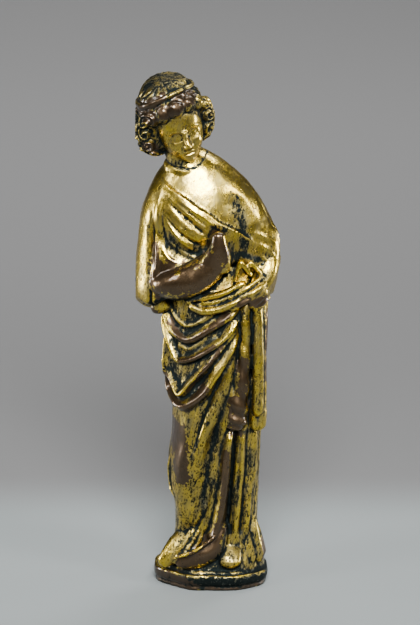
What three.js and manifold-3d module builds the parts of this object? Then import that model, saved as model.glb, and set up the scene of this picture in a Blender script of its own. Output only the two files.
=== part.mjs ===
// A small gilt copper figure of a robed angel on a low oval base, cast in one piece.
// The head is inclined to its right, the right forearm lies across the breast inside the
// mantle, and the left hand gathers the mantle at the hip, so that its folds hang in loops
// to the right hip and its end falls in pleats below the hand.
//
// Millimetres, +Z up, the face towards -Y, +X to a viewer's right. The origin is on the
// underside, below the middle of the figure's box. Left and right in names are a viewer's.
import * as THREE from "three";
import { mergeVertices } from "three/addons/utils/BufferGeometryUtils.js";
import Module from "manifold-3d";

const wasm = await Module();
wasm.setup();

// Driving dimensions.
const BASE = { x: 0.9, y: 0, halfWidth: 10.2, halfDepth: 8.6, thickness: 2.7 };
const SKIRT_TOP = 58;
const SHOULDER_TOP = 78.2;
const NECK = { x: -3.9, y: -0.6, bottom: 72, radius: 3.1 };
const HEAD = { x: -5.2, y: -1.2, z: 83.7, turn: 12, lean: -15, nod: 9, scale: 0.96 };
const MIDDLE = { x: 0.28, y: -0.55 }; // of the finished figure's box, moved to the origin
const CLOTH_RADIUS = 8.5; // turns an angle round the figure into a length along the cloth
const FACE_RADIUS = 4.4; // the same for the face
const SQUARENESS = 2.25; // 2 would make every level section an ellipse
const FRONT_DENSITY = 0.5; // how much closer the columns stand in front than behind
const NARROWEST_FOLD = 0.55; // half width of the finest fold that these facets carry

// Outlines at several heights: [height, left, right, front, back].
const SKIRT = [
  [1.5, -7.6, 10.0, 6.9, 7.0],
  [4, -7.3, 9.9, 6.6, 6.8],
  [6, -6.2, 8.9, 5.9, 6.0],
  [8, -5.6, 8.2, 5.4, 5.5],
  [11, -5.4, 8.0, 5.4, 5.3],
  [14, -5.5, 8.8, 5.8, 5.4],
  [18, -6.3, 9.1, 6.2, 5.7],
  [22, -6.6, 9.3, 6.5, 6.0],
  [27, -6.1, 9.5, 6.7, 6.2],
  [32, -6.1, 10.2, 7.0, 6.4],
  [37, -7.0, 10.4, 7.2, 6.6],
  [42, -7.5, 10.4, 7.2, 6.8],
  [47, -7.2, 10.5, 6.9, 6.8],
  [53, -7.0, 10.4, 6.4, 6.6],
  [SKIRT_TOP, -7.0, 9.5, 5.0, 6.0],
];
const MANTLE = [
  [46, -10.6, 10.8, 7.0, 6.9],
  [50, -11.7, 11.4, 7.2, 7.0],
  [53, -12.3, 12.1, 7.3, 6.9],
  [57, -12.3, 12.7, 7.2, 6.8],
  [61, -12.1, 12.7, 7.1, 6.6],
  [65, -11.6, 11.9, 6.9, 6.3],
  [68, -11.1, 10.6, 6.6, 6.0],
  [71, -10.3, 8.9, 5.9, 5.5],
  [73.5, -9.2, 6.9, 4.9, 4.8],
  [75.5, -7.9, 4.6, 4.0, 4.0],
  [77.2, -6.5, 1.9, 2.9, 3.2],
  [SHOULDER_TOP, -5.2, -0.8, 1.8, 2.2],
];
const FACE = [
  [-7.2, -1.1, 1.1, 3.7, -0.6],
  [-6.7, -1.9, 1.9, 4.3, 0.8],
  [-5.6, -2.7, 2.7, 4.6, 2.0],
  [-4.2, -3.3, 3.3, 4.8, 2.8],
  [-2.6, -3.7, 3.7, 4.9, 3.4],
  [-0.8, -3.8, 3.8, 5.0, 3.8],
  [1.0, -3.9, 3.9, 5.3, 4.0],
  [2.6, -3.8, 3.8, 5.1, 4.0],
  [4.0, -3.3, 3.3, 4.2, 3.6],
];

// Folds, each [half width, height, then points [x, height] as seen from in front].
const LOOPS = [
  [1.1, 1.2, [-7.2, 46.0], [-6.4, 39.6], [-3.5, 34.6], [1.0, 39.6], [5.4, 48.2]],
  [0.9, 1.1, [-7.2, 50.2], [-6.0, 45.2], [-4.0, 41.2], [0.6, 43.8], [5.8, 50.6]],
  [0.95, 1.0, [-6.4, 51.4], [-5.2, 48.6], [-3.2, 46.2], [0.8, 47.5], [5.9, 52.0]],
];
const LOOP_HEM = [[-7.3, 42.0], [-6.3, 36.4], [-3.6, 32.4], [-0.5, 34.4], [2.6, 39.8], [5.0, 46.4]];
const LONG_FOLDS = [
  [1.0, 0.7, [5.5, 45.5], [3.4, 38.5], [1.7, 31.0], [0.2, 22.5]],
  [0.8, 0.7, [3.9, 29.5], [2.6, 22.5], [1.7, 16.2], [1.4, 8.5]],
  [0.9, 1.2, [4.9, 29.0], [3.3, 21.7], [2.6, 14.4], [2.0, 7.0]],
];
const PLEATS = [
  [1.0, 1.1, [6.0, 29.5], [5.8, 19.9], [5.4, 7.5]],
  [1.1, 1.1, [8.6, 29.5], [8.4, 19.9], [7.5, 6.5]],
];
const MANTLE_RIM = [
  [-11.2, 51.2],
  [-10, 50.9],
  [-6.6, 52.2],
  [-3.4, 53.6],
  [-0.4, 55.3],
  [3.0, 58.0],
  [6.0, 59.2],
  [9.0, 56.4],
  [11, 53.4],
];
const FOREARM_TOP = [[-10.6, 57.8], [-6.4, 58.4], [-3.0, 59.0], [0, 60.6], [2.4, 63.0], [6, 61.5]];
const MANTLE_EDGE = [[8.6, 62.8], [5.9, 65.4], [-1.1, 69.9], [-7.6, 74.4]];
const BREAST_FOLDS = [
  [0.8, 0.7, [-7.4, 72.9], [-1.6, 68.2], [4.6, 64.3]],
  [0.9, 0.8, [-7.8, 71.0], [-3.4, 66.9], [2.2, 63.2]],
  [0.9, 0.8, [-8.2, 68.6], [-5.2, 65.0], [-1.0, 62.4], [1.4, 62.6]],
];
const ARM_CROOK = [[-8.4, 64.6], [-6.6, 61.6], [-3.2, 60.2], [0.6, 61.6]];
const SLEEVE_FOLDS = [
  [0.8, 0.9, [-11.2, 67.0], [-11.6, 58.0], [-11.3, 51.5]],
  [0.7, 0.7, [-9.7, 62.0], [-9.8, 57.0], [-9.7, 51.5]],
  [0.8, 0.9, [-8.3, 70.0], [-8.5, 64.5], [-8.3, 61.0]],
];

const radians = THREE.MathUtils.degToRad;
const degrees = THREE.MathUtils.radToDeg;
const clamp = THREE.MathUtils.clamp;
const smooth = THREE.MathUtils.smoothstep;
const point = (x, y, z) => new THREE.Vector3(x, y, z);

// A smooth curve through rows of [position, value, ...], read at one position.
function between(rows, position, column = 1) {
  const last = rows.length - 1;
  const at = clamp(position, rows[0][0], rows[last][0]);
  let i = 0;
  while (i < last - 1 && at > rows[i + 1][0]) i += 1;
  const slope = (j) => {
    const a = rows[Math.max(j - 1, 0)];
    const b = rows[Math.min(j + 1, last)];
    return (b[column] - a[column]) / (b[0] - a[0]);
  };
  const step = rows[i + 1][0] - rows[i][0];
  const t = (at - rows[i][0]) / step;
  return (
    rows[i][column] * (1 - t) ** 2 * (1 + 2 * t) +
    slope(i) * step * t * (1 - t) ** 2 +
    rows[i + 1][column] * t * t * (3 - 2 * t) -
    slope(i + 1) * step * t * t * (1 - t)
  );
}

// A point of a level section towards an angle, and the way out of the cloth there.
function section(rows, angle, z) {
  const left = between(rows, z, 1);
  const right = between(rows, z, 2);
  const halfWidth = (right - left) / 2;
  const halfDepth = between(rows, z, Math.cos(angle) > 0 ? 3 : 4);
  const rounded = (value) => Math.sign(value) * Math.abs(value) ** (2 / SQUARENESS);
  return {
    x: (left + right) / 2 + halfWidth * rounded(Math.sin(angle)),
    y: -halfDepth * rounded(Math.cos(angle)),
    out: point(Math.sin(angle) * halfDepth, -Math.cos(angle) * halfWidth, 0).normalize(),
  };
}

// A point of the front as it is seen, laid out flat on the cloth.
function laidOut(rows, radius, [x, z]) {
  const left = between(rows, z, 1);
  const right = between(rows, z, 2);
  const share = clamp((x - (left + right) / 2) / ((right - left) / 2), -0.97, 0.97);
  const angle = Math.asin(Math.sign(share) * Math.abs(share) ** (SQUARENESS / 2));
  return point(radius * angle, z, 0);
}

// Guide lines that the rows of facets follow, from the lowest up: how many rows lead up to
// the line, then [angle, height] round the figure, 0 in front and -90 at the left. A guide
// on a fold runs along it in front and at heights of its own at the left, right and back.
const level = (rows, height) => ({ rows, line: [[-180, height], [180, height]] });
function guideOn(rows, outline, points, [left, right, back]) {
  const seen = points
    .map((at) => [degrees(laidOut(outline, 1, at).x), at[1]])
    .sort((a, b) => a[0] - b[0]);
  return { rows, line: [[-180, back], [-115, left], ...seen, [100, right], [180, back]] };
}
const pathOf = ([, , ...points]) => points;

const skirtGuides = [
  level(0, SKIRT[0][0]),
  level(3, 6.5),
  level(4, 27),
  guideOn(4, SKIRT, LOOP_HEM, [45, 46, 44]),
  guideOn(2, SKIRT, pathOf(LOOPS[0]), [48, 48, 46]),
  guideOn(5, SKIRT, pathOf(LOOPS[1]), [51, 50, 49]),
  guideOn(3, SKIRT, pathOf(LOOPS[2]), [53, 52, 51]),
  level(2, SKIRT_TOP),
];
const mantleGuides = [
  guideOn(0, MANTLE, MANTLE_RIM, [48.4, 51.0, 47.0]),
  guideOn(4, MANTLE, FOREARM_TOP, [57, 58, 56]),
  guideOn(2, MANTLE, ARM_CROOK, [63, 60.5, 60]),
  guideOn(2, MANTLE, pathOf(BREAST_FOLDS[2]), [68, 62, 63.5]),
  guideOn(2, MANTLE, pathOf(BREAST_FOLDS[1]), [70.6, 63.4, 66.2]),
  guideOn(2, MANTLE, pathOf(BREAST_FOLDS[0]), [72.6, 64.6, 68.6]),
  guideOn(2, MANTLE, MANTLE_EDGE, [74.4, 66, 70.4]),
  level(6, SHOULDER_TOP),
];
const faceGuides = [level(0, FACE[0][0]), level(13, 2.6), level(1, 4.0)];

// Worked lines: a ridge, a groove, an edge with the higher side on its left, and a soft form.
const worked = (kind) => (width, rise, ...points) => ({
  kind,
  width: Math.max(width, NARROWEST_FOLD),
  rise,
  points,
});
const ridge = worked("ridge");
const groove = worked("groove");
const edge = worked("edge");
const form = worked("form");
const behind = (stroke) => ({ ...stroke, back: true });

// The pleats down the back, fanned from a middle line: [middle, spread, height] from the top.
function backPleats(count, width, rise, ...spread) {
  return Array.from({ length: count }, (_, i) => {
    const place = i / (count - 1) - 0.5;
    return behind(ridge(width, rise, ...spread.map(([middle, wide, z]) => [middle + wide * place, z])));
  });
}

const skirtLines = [
  form(3.4, 1.1, [-2.7, 34.0], [-3.0, 25.0], [-3.7, 15.0]),
  ...[...LOOPS, ...LONG_FOLDS, ...PLEATS].map((fold) => ridge(...fold)),
  edge(0.6, 0.7, ...LOOP_HEM),
  groove(0.7, 0.8, [3.2, 30.0], [1.1, 22.6], [-0.6, 15.3], [-2.4, 10.5]),
  groove(0.7, 1.0, [5.6, 29.0], [4.6, 19.9], [4.0, 12.5], [3.6, 7.0]),
  groove(0.6, 0.6, [7.4, 29.0], [7.0, 19.9], [6.4, 9.0]),
  ...backPleats(4, 2.0, 1.0, [1.5, 7, 50], [1.6, 12, 30], [1.5, 14, 5]),
];
const mantleLines = [
  form(1.8, 1.0, [11.6, 63.5], [11.7, 60.0], [10.8, 56.0], [9.4, 53.8]),
  form(1.6, -0.9, ...ARM_CROOK),
  form(2.2, -1.9, [5.6, 67.5], [6.6, 63.5], [7.0, 59.5]),
  ...[...BREAST_FOLDS, ...SLEEVE_FOLDS].map((fold) => ridge(...fold)),
  edge(0.5, 0.5, ...MANTLE_EDGE),
  groove(0.6, 0.5, [3.4, 76.6], [7.8, 71.8], [10.6, 66.0], [12.0, 58.0]),
  ...backPleats(4, 2.1, 0.9, [-2.4, 5, 73.5], [0.4, 13, 62], [0.6, 16, 49]),
];

// The face: calm and regular, its eyes half way up the head, an eye's width apart.
const EYE = { x: 1.5, z: -1.4 };
const faceLines = [
  ridge(0.6, 1.0, [0, -0.6], [0, -2.4], [0, -3.7]),
  form(0.75, 0.45, [0, -3.6], [0, -3.8]),
  form(0.9, 0.5, [0, -6.7], [0, -6.5]),
  form(0.8, 0.35, [-0.8, -5.1], [0.8, -5.1]),
  ...[-1, 1].flatMap((side) => [
    form(0.85, -0.75, [side * (EYE.x - 0.2), EYE.z], [side * (EYE.x + 0.3), EYE.z]),
    form(0.55, 0.35, [side * EYE.x, EYE.z - 0.05], [side * (EYE.x + 0.1), EYE.z - 0.05]),
    form(1.1, 0.35, [side * 2.2, -3.4], [side * 2.4, -3.6]),
  ]),
];

// The points of a worked line as a smooth run of short steps on the cloth.
function traced(rows, radius, stroke) {
  const knots = stroke.points.map((at) => laidOut(rows, radius, at));
  if (stroke.back) knots.forEach((knot) => (knot.x = -knot.x));
  return { ...stroke, path: new THREE.CatmullRomCurve3(knots).getPoints(4 * (knots.length - 1)) };
}

// How far a place on the cloth is from a line, on which side, and how far along it.
function nearest(path, s, z) {
  let best = { distance: Infinity };
  for (let i = 0; i < path.length - 1; i += 1) {
    const a = path[i];
    const run = path[i + 1].x - a.x;
    const climb = path[i + 1].y - a.y;
    const share = ((s - a.x) * run + (z - a.y) * climb) / (run * run + climb * climb);
    const held = clamp(share, 0, 1);
    const distance = Math.hypot(s - a.x - held * run, z - a.y - held * climb);
    if (distance < best.distance) {
      const side = Math.sign(run * (z - a.y) - climb * (s - a.x)) || 1;
      best = { distance, side, along: (i + held) / (path.length - 1) };
    }
  }
  return best;
}

// How far the worked lines raise the cloth at an angle and a height: forms and edges add up,
// the highest ridge and the deepest groove count.
function relief(lines, radius, angle, z) {
  let raised = 0;
  let fold = 0;
  let cut = 0;
  for (const { kind, width, rise, path, back } of lines) {
    const turned = back ? Math.atan2(-Math.sin(angle), -Math.cos(angle)) : angle;
    const { distance, side, along } = nearest(path, radius * turned, z);
    const share = distance / width;
    const ends = smooth(along, -0.05, 0.12) * (1 - smooth(along, 0.88, 1.05));
    if (kind === "form") raised += rise * Math.exp(-share * share);
    if (kind === "edge" && side > 0) raised += rise * ends * Math.exp(-share / 3);
    const crest = share < 1 ? (1 - share * share) ** 1.5 * ends : 0;
    if (kind === "ridge") fold = Math.max(fold, rise * crest);
    if (kind === "groove") cut = Math.max(cut, rise * crest);
  }
  return raised + fold - cut;
}

// A closed geometry as a solid that can be joined to others.
function solidOf(geometry) {
  geometry.deleteAttribute("normal");
  geometry.deleteAttribute("uv");
  const merged = mergeVertices(geometry, 1e-4);
  return new wasm.Manifold(
    new wasm.Mesh({
      numProp: 3,
      vertProperties: merged.attributes.position.array,
      triVerts: new Uint32Array(merged.index.array),
    }),
  );
}

// A closed solid over a grid of columns round an axis and rows up it, with a point at each end.
function shell(columns, rows, place, bottom, top) {
  const points = [bottom];
  for (let row = 0; row < rows; row += 1)
    for (let column = 0; column < columns; column += 1)
      points.push(place(column / columns, row / (rows - 1)));
  points.push(top);
  const faces = [];
  const vertex = (row, column) => 1 + row * columns + (column % columns);
  for (let column = 0; column < columns; column += 1) {
    faces.push(0, vertex(0, column + 1), vertex(0, column));
    for (let row = 0; row < rows - 1; row += 1) {
      const [a, b] = [vertex(row, column), vertex(row, column + 1)];
      const [d, c] = [vertex(row + 1, column), vertex(row + 1, column + 1)];
      faces.push(a, b, c, a, c, d);
    }
    faces.push(points.length - 1, vertex(rows - 1, column), vertex(rows - 1, column + 1));
  }
  return solidOf(new THREE.BufferGeometry().setFromPoints(points).setIndex(faces));
}

// The height towards an angle, for a share of the way up the guide lines.
function levelOf(guides, angle, up) {
  const total = guides.reduce((sum, { rows }) => sum + rows, 0);
  let counted = 0;
  const knots = guides.map(({ rows, line }) => {
    counted += rows;
    return [counted / total, between(line, degrees(angle))];
  });
  return between(knots, up);
}

// A draped form: its outline carried round and up its guide lines, raised by its worked lines.
function draped(rows, guides, lines, radius, columns, low, high) {
  const strokes = lines.map((stroke) => traced(rows, radius, stroke));
  const place = (around, up) => {
    const turn = 2 * Math.PI * around - FRONT_DENSITY * Math.sin(2 * Math.PI * around);
    const angle = Math.atan2(Math.sin(turn), Math.cos(turn));
    const z = levelOf(guides, angle, up);
    const { x, y, out } = section(rows, angle, z);
    return point(x, y, z).addScaledVector(out, relief(strokes, radius, angle, z));
  };
  const count = 1 + guides.reduce((sum, guideLine) => sum + guideLine.rows, 0);
  return shell(columns, count, place, low, high);
}

const skirt = () =>
  draped(
    SKIRT, skirtGuides, skirtLines, CLOTH_RADIUS, 40,
    point(BASE.x, 0, SKIRT[0][0]), point(0, 0, SKIRT_TOP + 1),
  );

const mantle = () =>
  draped(
    MANTLE, mantleGuides, mantleLines, CLOTH_RADIUS, 42,
    point(0, 0, 57), point(NECK.x, 0, SHOULDER_TOP + 0.2),
  );

// A round tube through stations [x, y, z, radius], closed by a blunt point at both ends.
function tube(stations, sides = 6, steps = 6) {
  const path = new THREE.CatmullRomCurve3(stations.map(([x, y, z]) => point(x, y, z)));
  const radii = stations.map(([, , , radius], i) => [i / (stations.length - 1), radius]);
  const { normals, binormals } = path.computeFrenetFrames(steps, false);
  const place = (around, up) => {
    const step = Math.round(up * steps);
    const angle = 2 * Math.PI * around;
    return path
      .getPoint(up)
      .addScaledVector(normals[step], between(radii, up) * Math.cos(angle))
      .addScaledVector(binormals[step], between(radii, up) * Math.sin(angle));
  };
  const tip = (end) =>
    path.getPoint(end).addScaledVector(path.getTangent(end), (2 * end - 1) * 0.6 * between(radii, end));
  return shell(sides, steps + 1, place, tip(0), tip(1));
}

// An egg-shaped lump about [x, y, z] with the half sizes [a, b, c].
function lump([x, y, z], [a, b, c], columns = 7, rows = 5) {
  return solidOf(
    new THREE.SphereGeometry(1, columns, rows).rotateX(Math.PI / 2).scale(a, b, c).translate(x, y, z),
  );
}

// The base: an oval plinth with a raised lip, a channel inside the lip, and a low mound. Its
// profile is [share of its half size, height], from the underside up.
const BASE_PROFILE = [
  [0, 0],
  [0.96, 0],
  [1.0, 0.5],
  [1.0, BASE.thickness - 0.5],
  [0.96, BASE.thickness],
  [0.9, BASE.thickness - 0.5],
  [0.84, BASE.thickness + 0.2],
  [0, BASE.thickness + 1.0],
];
function base() {
  const profile = BASE_PROFILE.map(([share, height]) => new THREE.Vector2(share, height));
  return solidOf(
    new THREE.LatheGeometry(profile, 32)
      .rotateX(Math.PI / 2)
      .scale(BASE.halfWidth, BASE.halfDepth, 1)
      .translate(BASE.x, BASE.y, 0),
  );
}

// A place round the upright through the head, by degrees from the face and reach.
const roundTheHead = (turn, reach) => [
  reach * Math.sin(radians(turn)),
  HAIR_AXIS - reach * Math.cos(radians(turn)),
];

// A lock of hair through [degrees from the face, height, reach from the head's axis, radius].
function lock(places) {
  const stations = places.map(([turn, height, reach, radius]) => [
    ...roundTheHead(turn, reach),
    height,
    radius,
  ]);
  return tube(stations, 5, 2 * (places.length - 1));
}

// The hair in the head's own frame: a cap, a rolled fringe, tiers of curls at the sides, locks
// down the nape, and a band round the crown that falls to the left.
const CAP = { middle: [0, 1.1, 2.4], size: [5.9, 6.2, 5.3] };
const HAIR_AXIS = 0.6; // how far behind the face's own upright the hair is centred
const CURL_TIERS = [1.9, -0.5, -2.9]; // heights of the middle of each tier
const BAND = { height: 4.6, fall: 1.1, rise: 1.7, radius: 0.55 };
function hair() {
  const bandAt = (turn) => {
    const height = BAND.height + BAND.fall * Math.sin(radians(turn)) + BAND.rise * Math.cos(radians(turn));
    const girth = Math.sqrt(1 - ((height - CAP.middle[2]) / CAP.size[2]) ** 2);
    const across = CAP.size[0] * girth * Math.sin(radians(turn));
    const along = CAP.middle[1] - CAP.size[1] * girth * Math.cos(radians(turn));
    return [across, along, height, BAND.radius];
  };
  const bandRun = (from) => tube(Array.from({ length: 8 }, (_, i) => bandAt(from + 27 * i)), 5, 9);
  const curl = (turn, height, reach, radius) =>
    lump([...roundTheHead(turn, reach), height], [radius, radius, radius], 6, 5);
  const fringe = [
    [-54, 2.2, 5.2, 1.1],
    [-28, 3.3, 5.2, 1.3],
    [0, 3.8, 5.1, 1.4],
    [26, 3.3, 5.2, 1.3],
    [52, 2.2, 5.2, 1.1],
  ];
  const napeLock = (turn) => [
    [180 + turn, 1.4, 5.4, 1.4],
    [176 + turn, -1.8, 5.3, 1.6],
    [180 + turn, -4.4, 4.5, 1.2],
  ];
  return [
    lump(CAP.middle, CAP.size, 16, 9),
    lump([0, 2.6, -1.4], [4.9, 3.8, 4.4], 8, 6),
    lock(fringe),
    ...[-1, 1].flatMap((side) =>
      CURL_TIERS.flatMap((height, tier) => [
        curl(side * 60, height - 0.3, 5.0 - 0.15 * tier, 1.35),
        curl(side * 88, height, 5.5 - 0.15 * tier, 1.6),
      ]),
    ),
    ...[-54, -18, 18, 54].map((turn) => lock(napeLock(turn))),
    bandRun(-95),
    bandRun(85),
  ];
}

// The head, inclined and set on the neck.
function head() {
  const face = draped(
    FACE, faceGuides, faceLines, FACE_RADIUS, 22,
    point(0, -1.8, -7.5), point(0, 0, 4.4),
  );
  const pose = new THREE.Matrix4()
    .makeTranslation(HEAD.x, HEAD.y, HEAD.z)
    .multiply(new THREE.Matrix4().makeRotationY(radians(HEAD.lean)))
    .multiply(new THREE.Matrix4().makeRotationX(radians(HEAD.nod)))
    .multiply(new THREE.Matrix4().makeRotationZ(radians(HEAD.turn)))
    .scale(point(HEAD.scale, HEAD.scale, HEAD.scale));
  return wasm.Manifold.union([face, ...hair()]).transform(pose.elements);
}

// The neck, and the low collar that the mantle leaves free.
function neck() {
  const { x, y, bottom, radius } = NECK;
  const throat = [
    [x + 0.3, y + 0.4, bottom, radius + 0.6],
    [x, y, bottom + 4, radius],
    [HEAD.x + 0.3, HEAD.y + 0.8, HEAD.z - 3, radius],
  ];
  const collar = [
    [-7.3, -0.8, 76.6, 0.6],
    [-6.3, -3.0, 75.4, 0.8],
    [-4.2, -4.1, 74.9, 0.85],
    [-2.0, -3.8, 75.1, 0.8],
    [-0.1, -2.0, 76.3, 0.6],
  ];
  return [tube(throat, 10, 3), tube(collar, 5, 6)];
}

// Four fingers side by side, each a step on from the one before.
function fingers(stations, [dx, dy, dz]) {
  return Array.from({ length: 4 }, (_, i) =>
    tube(stations.map(([x, y, z, radius]) => [x + dx * i, y + dy * i, z + dz * i, radius]), 4, 2),
  );
}

// The forearm across the breast, with the hand raised against it.
function rightArm() {
  const forearm = [
    [-9.7, -2.2, 54.8, 2.0],
    [-7.4, -5.2, 54.9, 2.5],
    [-4.0, -6.7, 55.9, 2.8],
    [-0.8, -7.1, 57.5, 2.6],
    [1.4, -7.4, 60.2, 2.1],
    [2.2, -7.5, 63.0, 1.5],
  ];
  const finger = [
    [1.2, -8.7, 62.2, 0.45],
    [1.3, -8.6, 64.2, 0.45],
    [1.5, -8.0, 65.6, 0.36],
  ];
  const palm = lump([2.2, -8.1, 62.4], [1.5, 1.1, 2.3]);
  return [tube(forearm, 9, 7), palm, ...fingers(finger, [0.5, 0.05, -0.1])];
}

// The end of the other sleeve, and the hand that grips the mantle.
function leftArm() {
  const sleeve = [
    [10.6, -2.0, 58.6, 1.9],
    [10.0, -4.2, 56.8, 2.0],
    [9.2, -5.6, 55.2, 1.7],
  ];
  const finger = [
    [9.8, -5.4, 56.5, 0.6],
    [8.3, -7.5, 55.8, 0.62],
    [7.1, -7.7, 54.4, 0.5],
  ];
  const fist = lump([9.0, -5.8, 54.4], [2.1, 1.9, 2.2]);
  return [tube(sleeve, 8, 3), fist, ...fingers(finger, [-0.3, -0.3, -0.9])];
}

// The mantle's gathered edge: two rolls drawn to the left hand, a bight over its thumb, and the
// tuck under the right elbow.
function gatheredEdge() {
  const upperRoll = [
    [-3.2, -6.2, 52.2, 0.8],
    [0, -7.2, 52.9, 0.9],
    [3.4, -7.8, 53.9, 0.8],
    [7.0, -7.4, 55.2, 0.7],
  ];
  const lowerRoll = [
    [-2.9, -6.5, 50.9, 0.8],
    [1.0, -7.5, 50.9, 0.95],
    [4.8, -8.0, 52.5, 0.9],
    [7.8, -7.2, 54.0, 0.7],
  ];
  const bight = [
    [5.0, -5.4, 55.6, 0.6],
    [5.9, -6.9, 58.6, 0.65],
    [7.0, -6.9, 58.0, 0.6],
    [8.4, -5.6, 56.0, 0.7],
  ];
  const tuck = [
    [-7.6, -2.2, 51.6, 1.8],
    [-8.8, -2.4, 50.2, 1.6],
    [-9.4, -2.2, 49.2, 1.1],
  ];
  return [tube(upperRoll, 6, 5), tube(lowerRoll, 6, 5), tube(bight, 5, 5), tube(tuck, 6, 3)];
}

// The mantle's end, hanging below the left hand in pleats of different lengths.
function hangingEnd() {
  const broadPleat = [
    [6.6, -7.0, 51.8, 0.9],
    [6.4, -7.4, 43.6, 1.1],
    [5.9, -7.4, 36.3, 1.35],
    [5.5, -7.1, 30.4, 1.4],
  ];
  const middlePleat = [
    [8.5, -6.3, 51.8, 0.8],
    [8.6, -6.6, 41.8, 0.95],
    [8.5, -6.2, 34.4, 0.7],
  ];
  const outerPleat = [
    [10.0, -4.4, 53.5, 0.8],
    [10.1, -4.8, 41.8, 1.0],
    [9.7, -4.9, 33.2, 0.9],
  ];
  const lowPleat = [
    [8.2, -5.6, 36.0, 0.9],
    [8.1, -6.0, 32.0, 1.1],
    [8.0, -6.0, 29.8, 1.0],
  ];
  return [tube(broadPleat, 7, 5), tube(middlePleat, 6, 4), tube(outerPleat, 6, 4), tube(lowPleat, 6, 2)];
}

// The shoe tips under the hem, and the cloth that trails over the base between and beside them.
function feet() {
  const rightShoe = [
    [-2.4, -3.2, 7.4, 1.6],
    [-4.6, -4.8, 5.4, 1.8],
    [-6.4, -5.7, 4.3, 1.5],
    [-7.6, -6.0, 3.8, 0.9],
  ];
  const leftShoe = [
    [5.0, -4.0, 6.6, 1.6],
    [5.3, -5.6, 5.0, 1.8],
    [5.6, -7.0, 4.0, 1.4],
    [5.8, -7.7, 3.6, 0.8],
  ];
  const train = [
    [2.6, -4.6, 9.5, 0.9],
    [2.0, -5.8, 6.4, 1.2],
    [0.4, -6.6, 4.6, 1.1],
    [-1.6, -6.7, 3.8, 0.9],
    [-3.2, -6.5, 3.5, 0.6],
  ];
  const sideTrain = [
    [7.2, -0.8, 8.6, 1.4],
    [8.6, -1.0, 5.8, 1.8],
    [9.4, -1.2, 3.6, 1.2],
  ];
  return [tube(rightShoe, 7, 4), tube(leftShoe, 7, 4), tube(train, 6, 6), tube(sideTrain, 6, 3)];
}

// A solid as a geometry, moved so that its box stands over the origin.
function geometryOf(solid) {
  const { vertProperties, numProp, triVerts } = solid.getMesh();
  const positions = new Float32Array((vertProperties.length / numProp) * 3);
  for (let i = 0; i < positions.length / 3; i += 1)
    positions.set(vertProperties.subarray(i * numProp, i * numProp + 3), i * 3);
  const geometry = new THREE.BufferGeometry();
  geometry.setAttribute("position", new THREE.BufferAttribute(positions, 3));
  geometry.setIndex(new THREE.BufferAttribute(triVerts, 1));
  geometry.translate(-MIDDLE.x, -MIDDLE.y, 0);
  return mergeVertices(geometry, 1e-4);
}

const giltCopper = new THREE.MeshStandardMaterial({
  color: new THREE.Color(0.78, 0.58, 0.2),
  roughness: 0.3,
  metalness: 1,
  flatShading: true,
});

const castings = [
  base(),
  skirt(),
  mantle(),
  head(),
  ...neck(),
  ...rightArm(),
  ...leftArm(),
  ...gatheredEdge(),
  ...hangingEnd(),
  ...feet(),
];
const figure = new THREE.Mesh(geometryOf(wasm.Manifold.union(castings)), giltCopper);
figure.name = "angel_figure";

const part = new THREE.Group();
part.add(figure);

export default part;
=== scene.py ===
"""The finish of a small gilt copper angel figure: its fine casting, worn gilding and a plain stage.

Sizes are millimetres until a mesh is made. +X is a viewer's right and the face looks towards -Y.
"""

import math

import bpy
import numpy as np
from bpy.props import FloatProperty, FloatVectorProperty, PointerProperty
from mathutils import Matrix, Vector


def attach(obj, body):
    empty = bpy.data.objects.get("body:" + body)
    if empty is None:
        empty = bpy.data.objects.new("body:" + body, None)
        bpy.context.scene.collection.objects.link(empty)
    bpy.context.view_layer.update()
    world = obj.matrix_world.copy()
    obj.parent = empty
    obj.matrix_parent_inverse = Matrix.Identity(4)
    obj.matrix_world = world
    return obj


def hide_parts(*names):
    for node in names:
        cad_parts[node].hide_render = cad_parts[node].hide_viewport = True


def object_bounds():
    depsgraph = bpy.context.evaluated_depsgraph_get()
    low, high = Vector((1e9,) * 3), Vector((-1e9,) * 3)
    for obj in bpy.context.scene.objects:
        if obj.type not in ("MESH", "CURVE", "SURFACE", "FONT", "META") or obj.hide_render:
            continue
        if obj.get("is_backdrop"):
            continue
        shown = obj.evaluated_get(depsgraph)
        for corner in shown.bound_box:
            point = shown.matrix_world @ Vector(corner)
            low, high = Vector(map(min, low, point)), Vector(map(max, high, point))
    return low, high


bl_info = {
    "name": "Gilt Copper Angel Figure",
    "version": (1, 0, 0),
    "blender": (4, 5, 0),
    "location": "View3D > Sidebar > Angel",
    "description": "Models a small cast and gilt figure with its worn finish",
    "category": "Add Mesh",
}

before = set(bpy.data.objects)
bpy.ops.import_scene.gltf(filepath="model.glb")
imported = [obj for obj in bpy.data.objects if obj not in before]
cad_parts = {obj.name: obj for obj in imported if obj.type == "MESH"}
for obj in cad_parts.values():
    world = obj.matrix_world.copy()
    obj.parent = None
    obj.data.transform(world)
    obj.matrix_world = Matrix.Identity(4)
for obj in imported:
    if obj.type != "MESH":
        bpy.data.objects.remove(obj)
CAD_LOW, CAD_HIGH = (tuple(corner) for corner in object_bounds())

MM = 0.001
NODE = "angel_figure"
BODY = "root"
MIDDLE = np.array([0.28, -0.55, 0.0])  # the shapes are drawn about this point of the frame
# Radii that turn an angle round a form into a length along its surface.
CLOTH_RADIUS = 8.5
FACE_RADIUS = 4.6
HAIR_RADIUS = 6.4
SQUARENESS = 2.25  # of the level sections: 2 is an ellipse
WIDEST_SHARE = 0.97  # how far out towards the side of a form a point of the front view is laid
CROWDING = 0.35  # how much denser the grids' columns are in front than behind

BASE = {"x": 0.9, "half_width": 10.2, "half_depth": 8.6, "thickness": 2.7, "squareness": 2.5}
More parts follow.
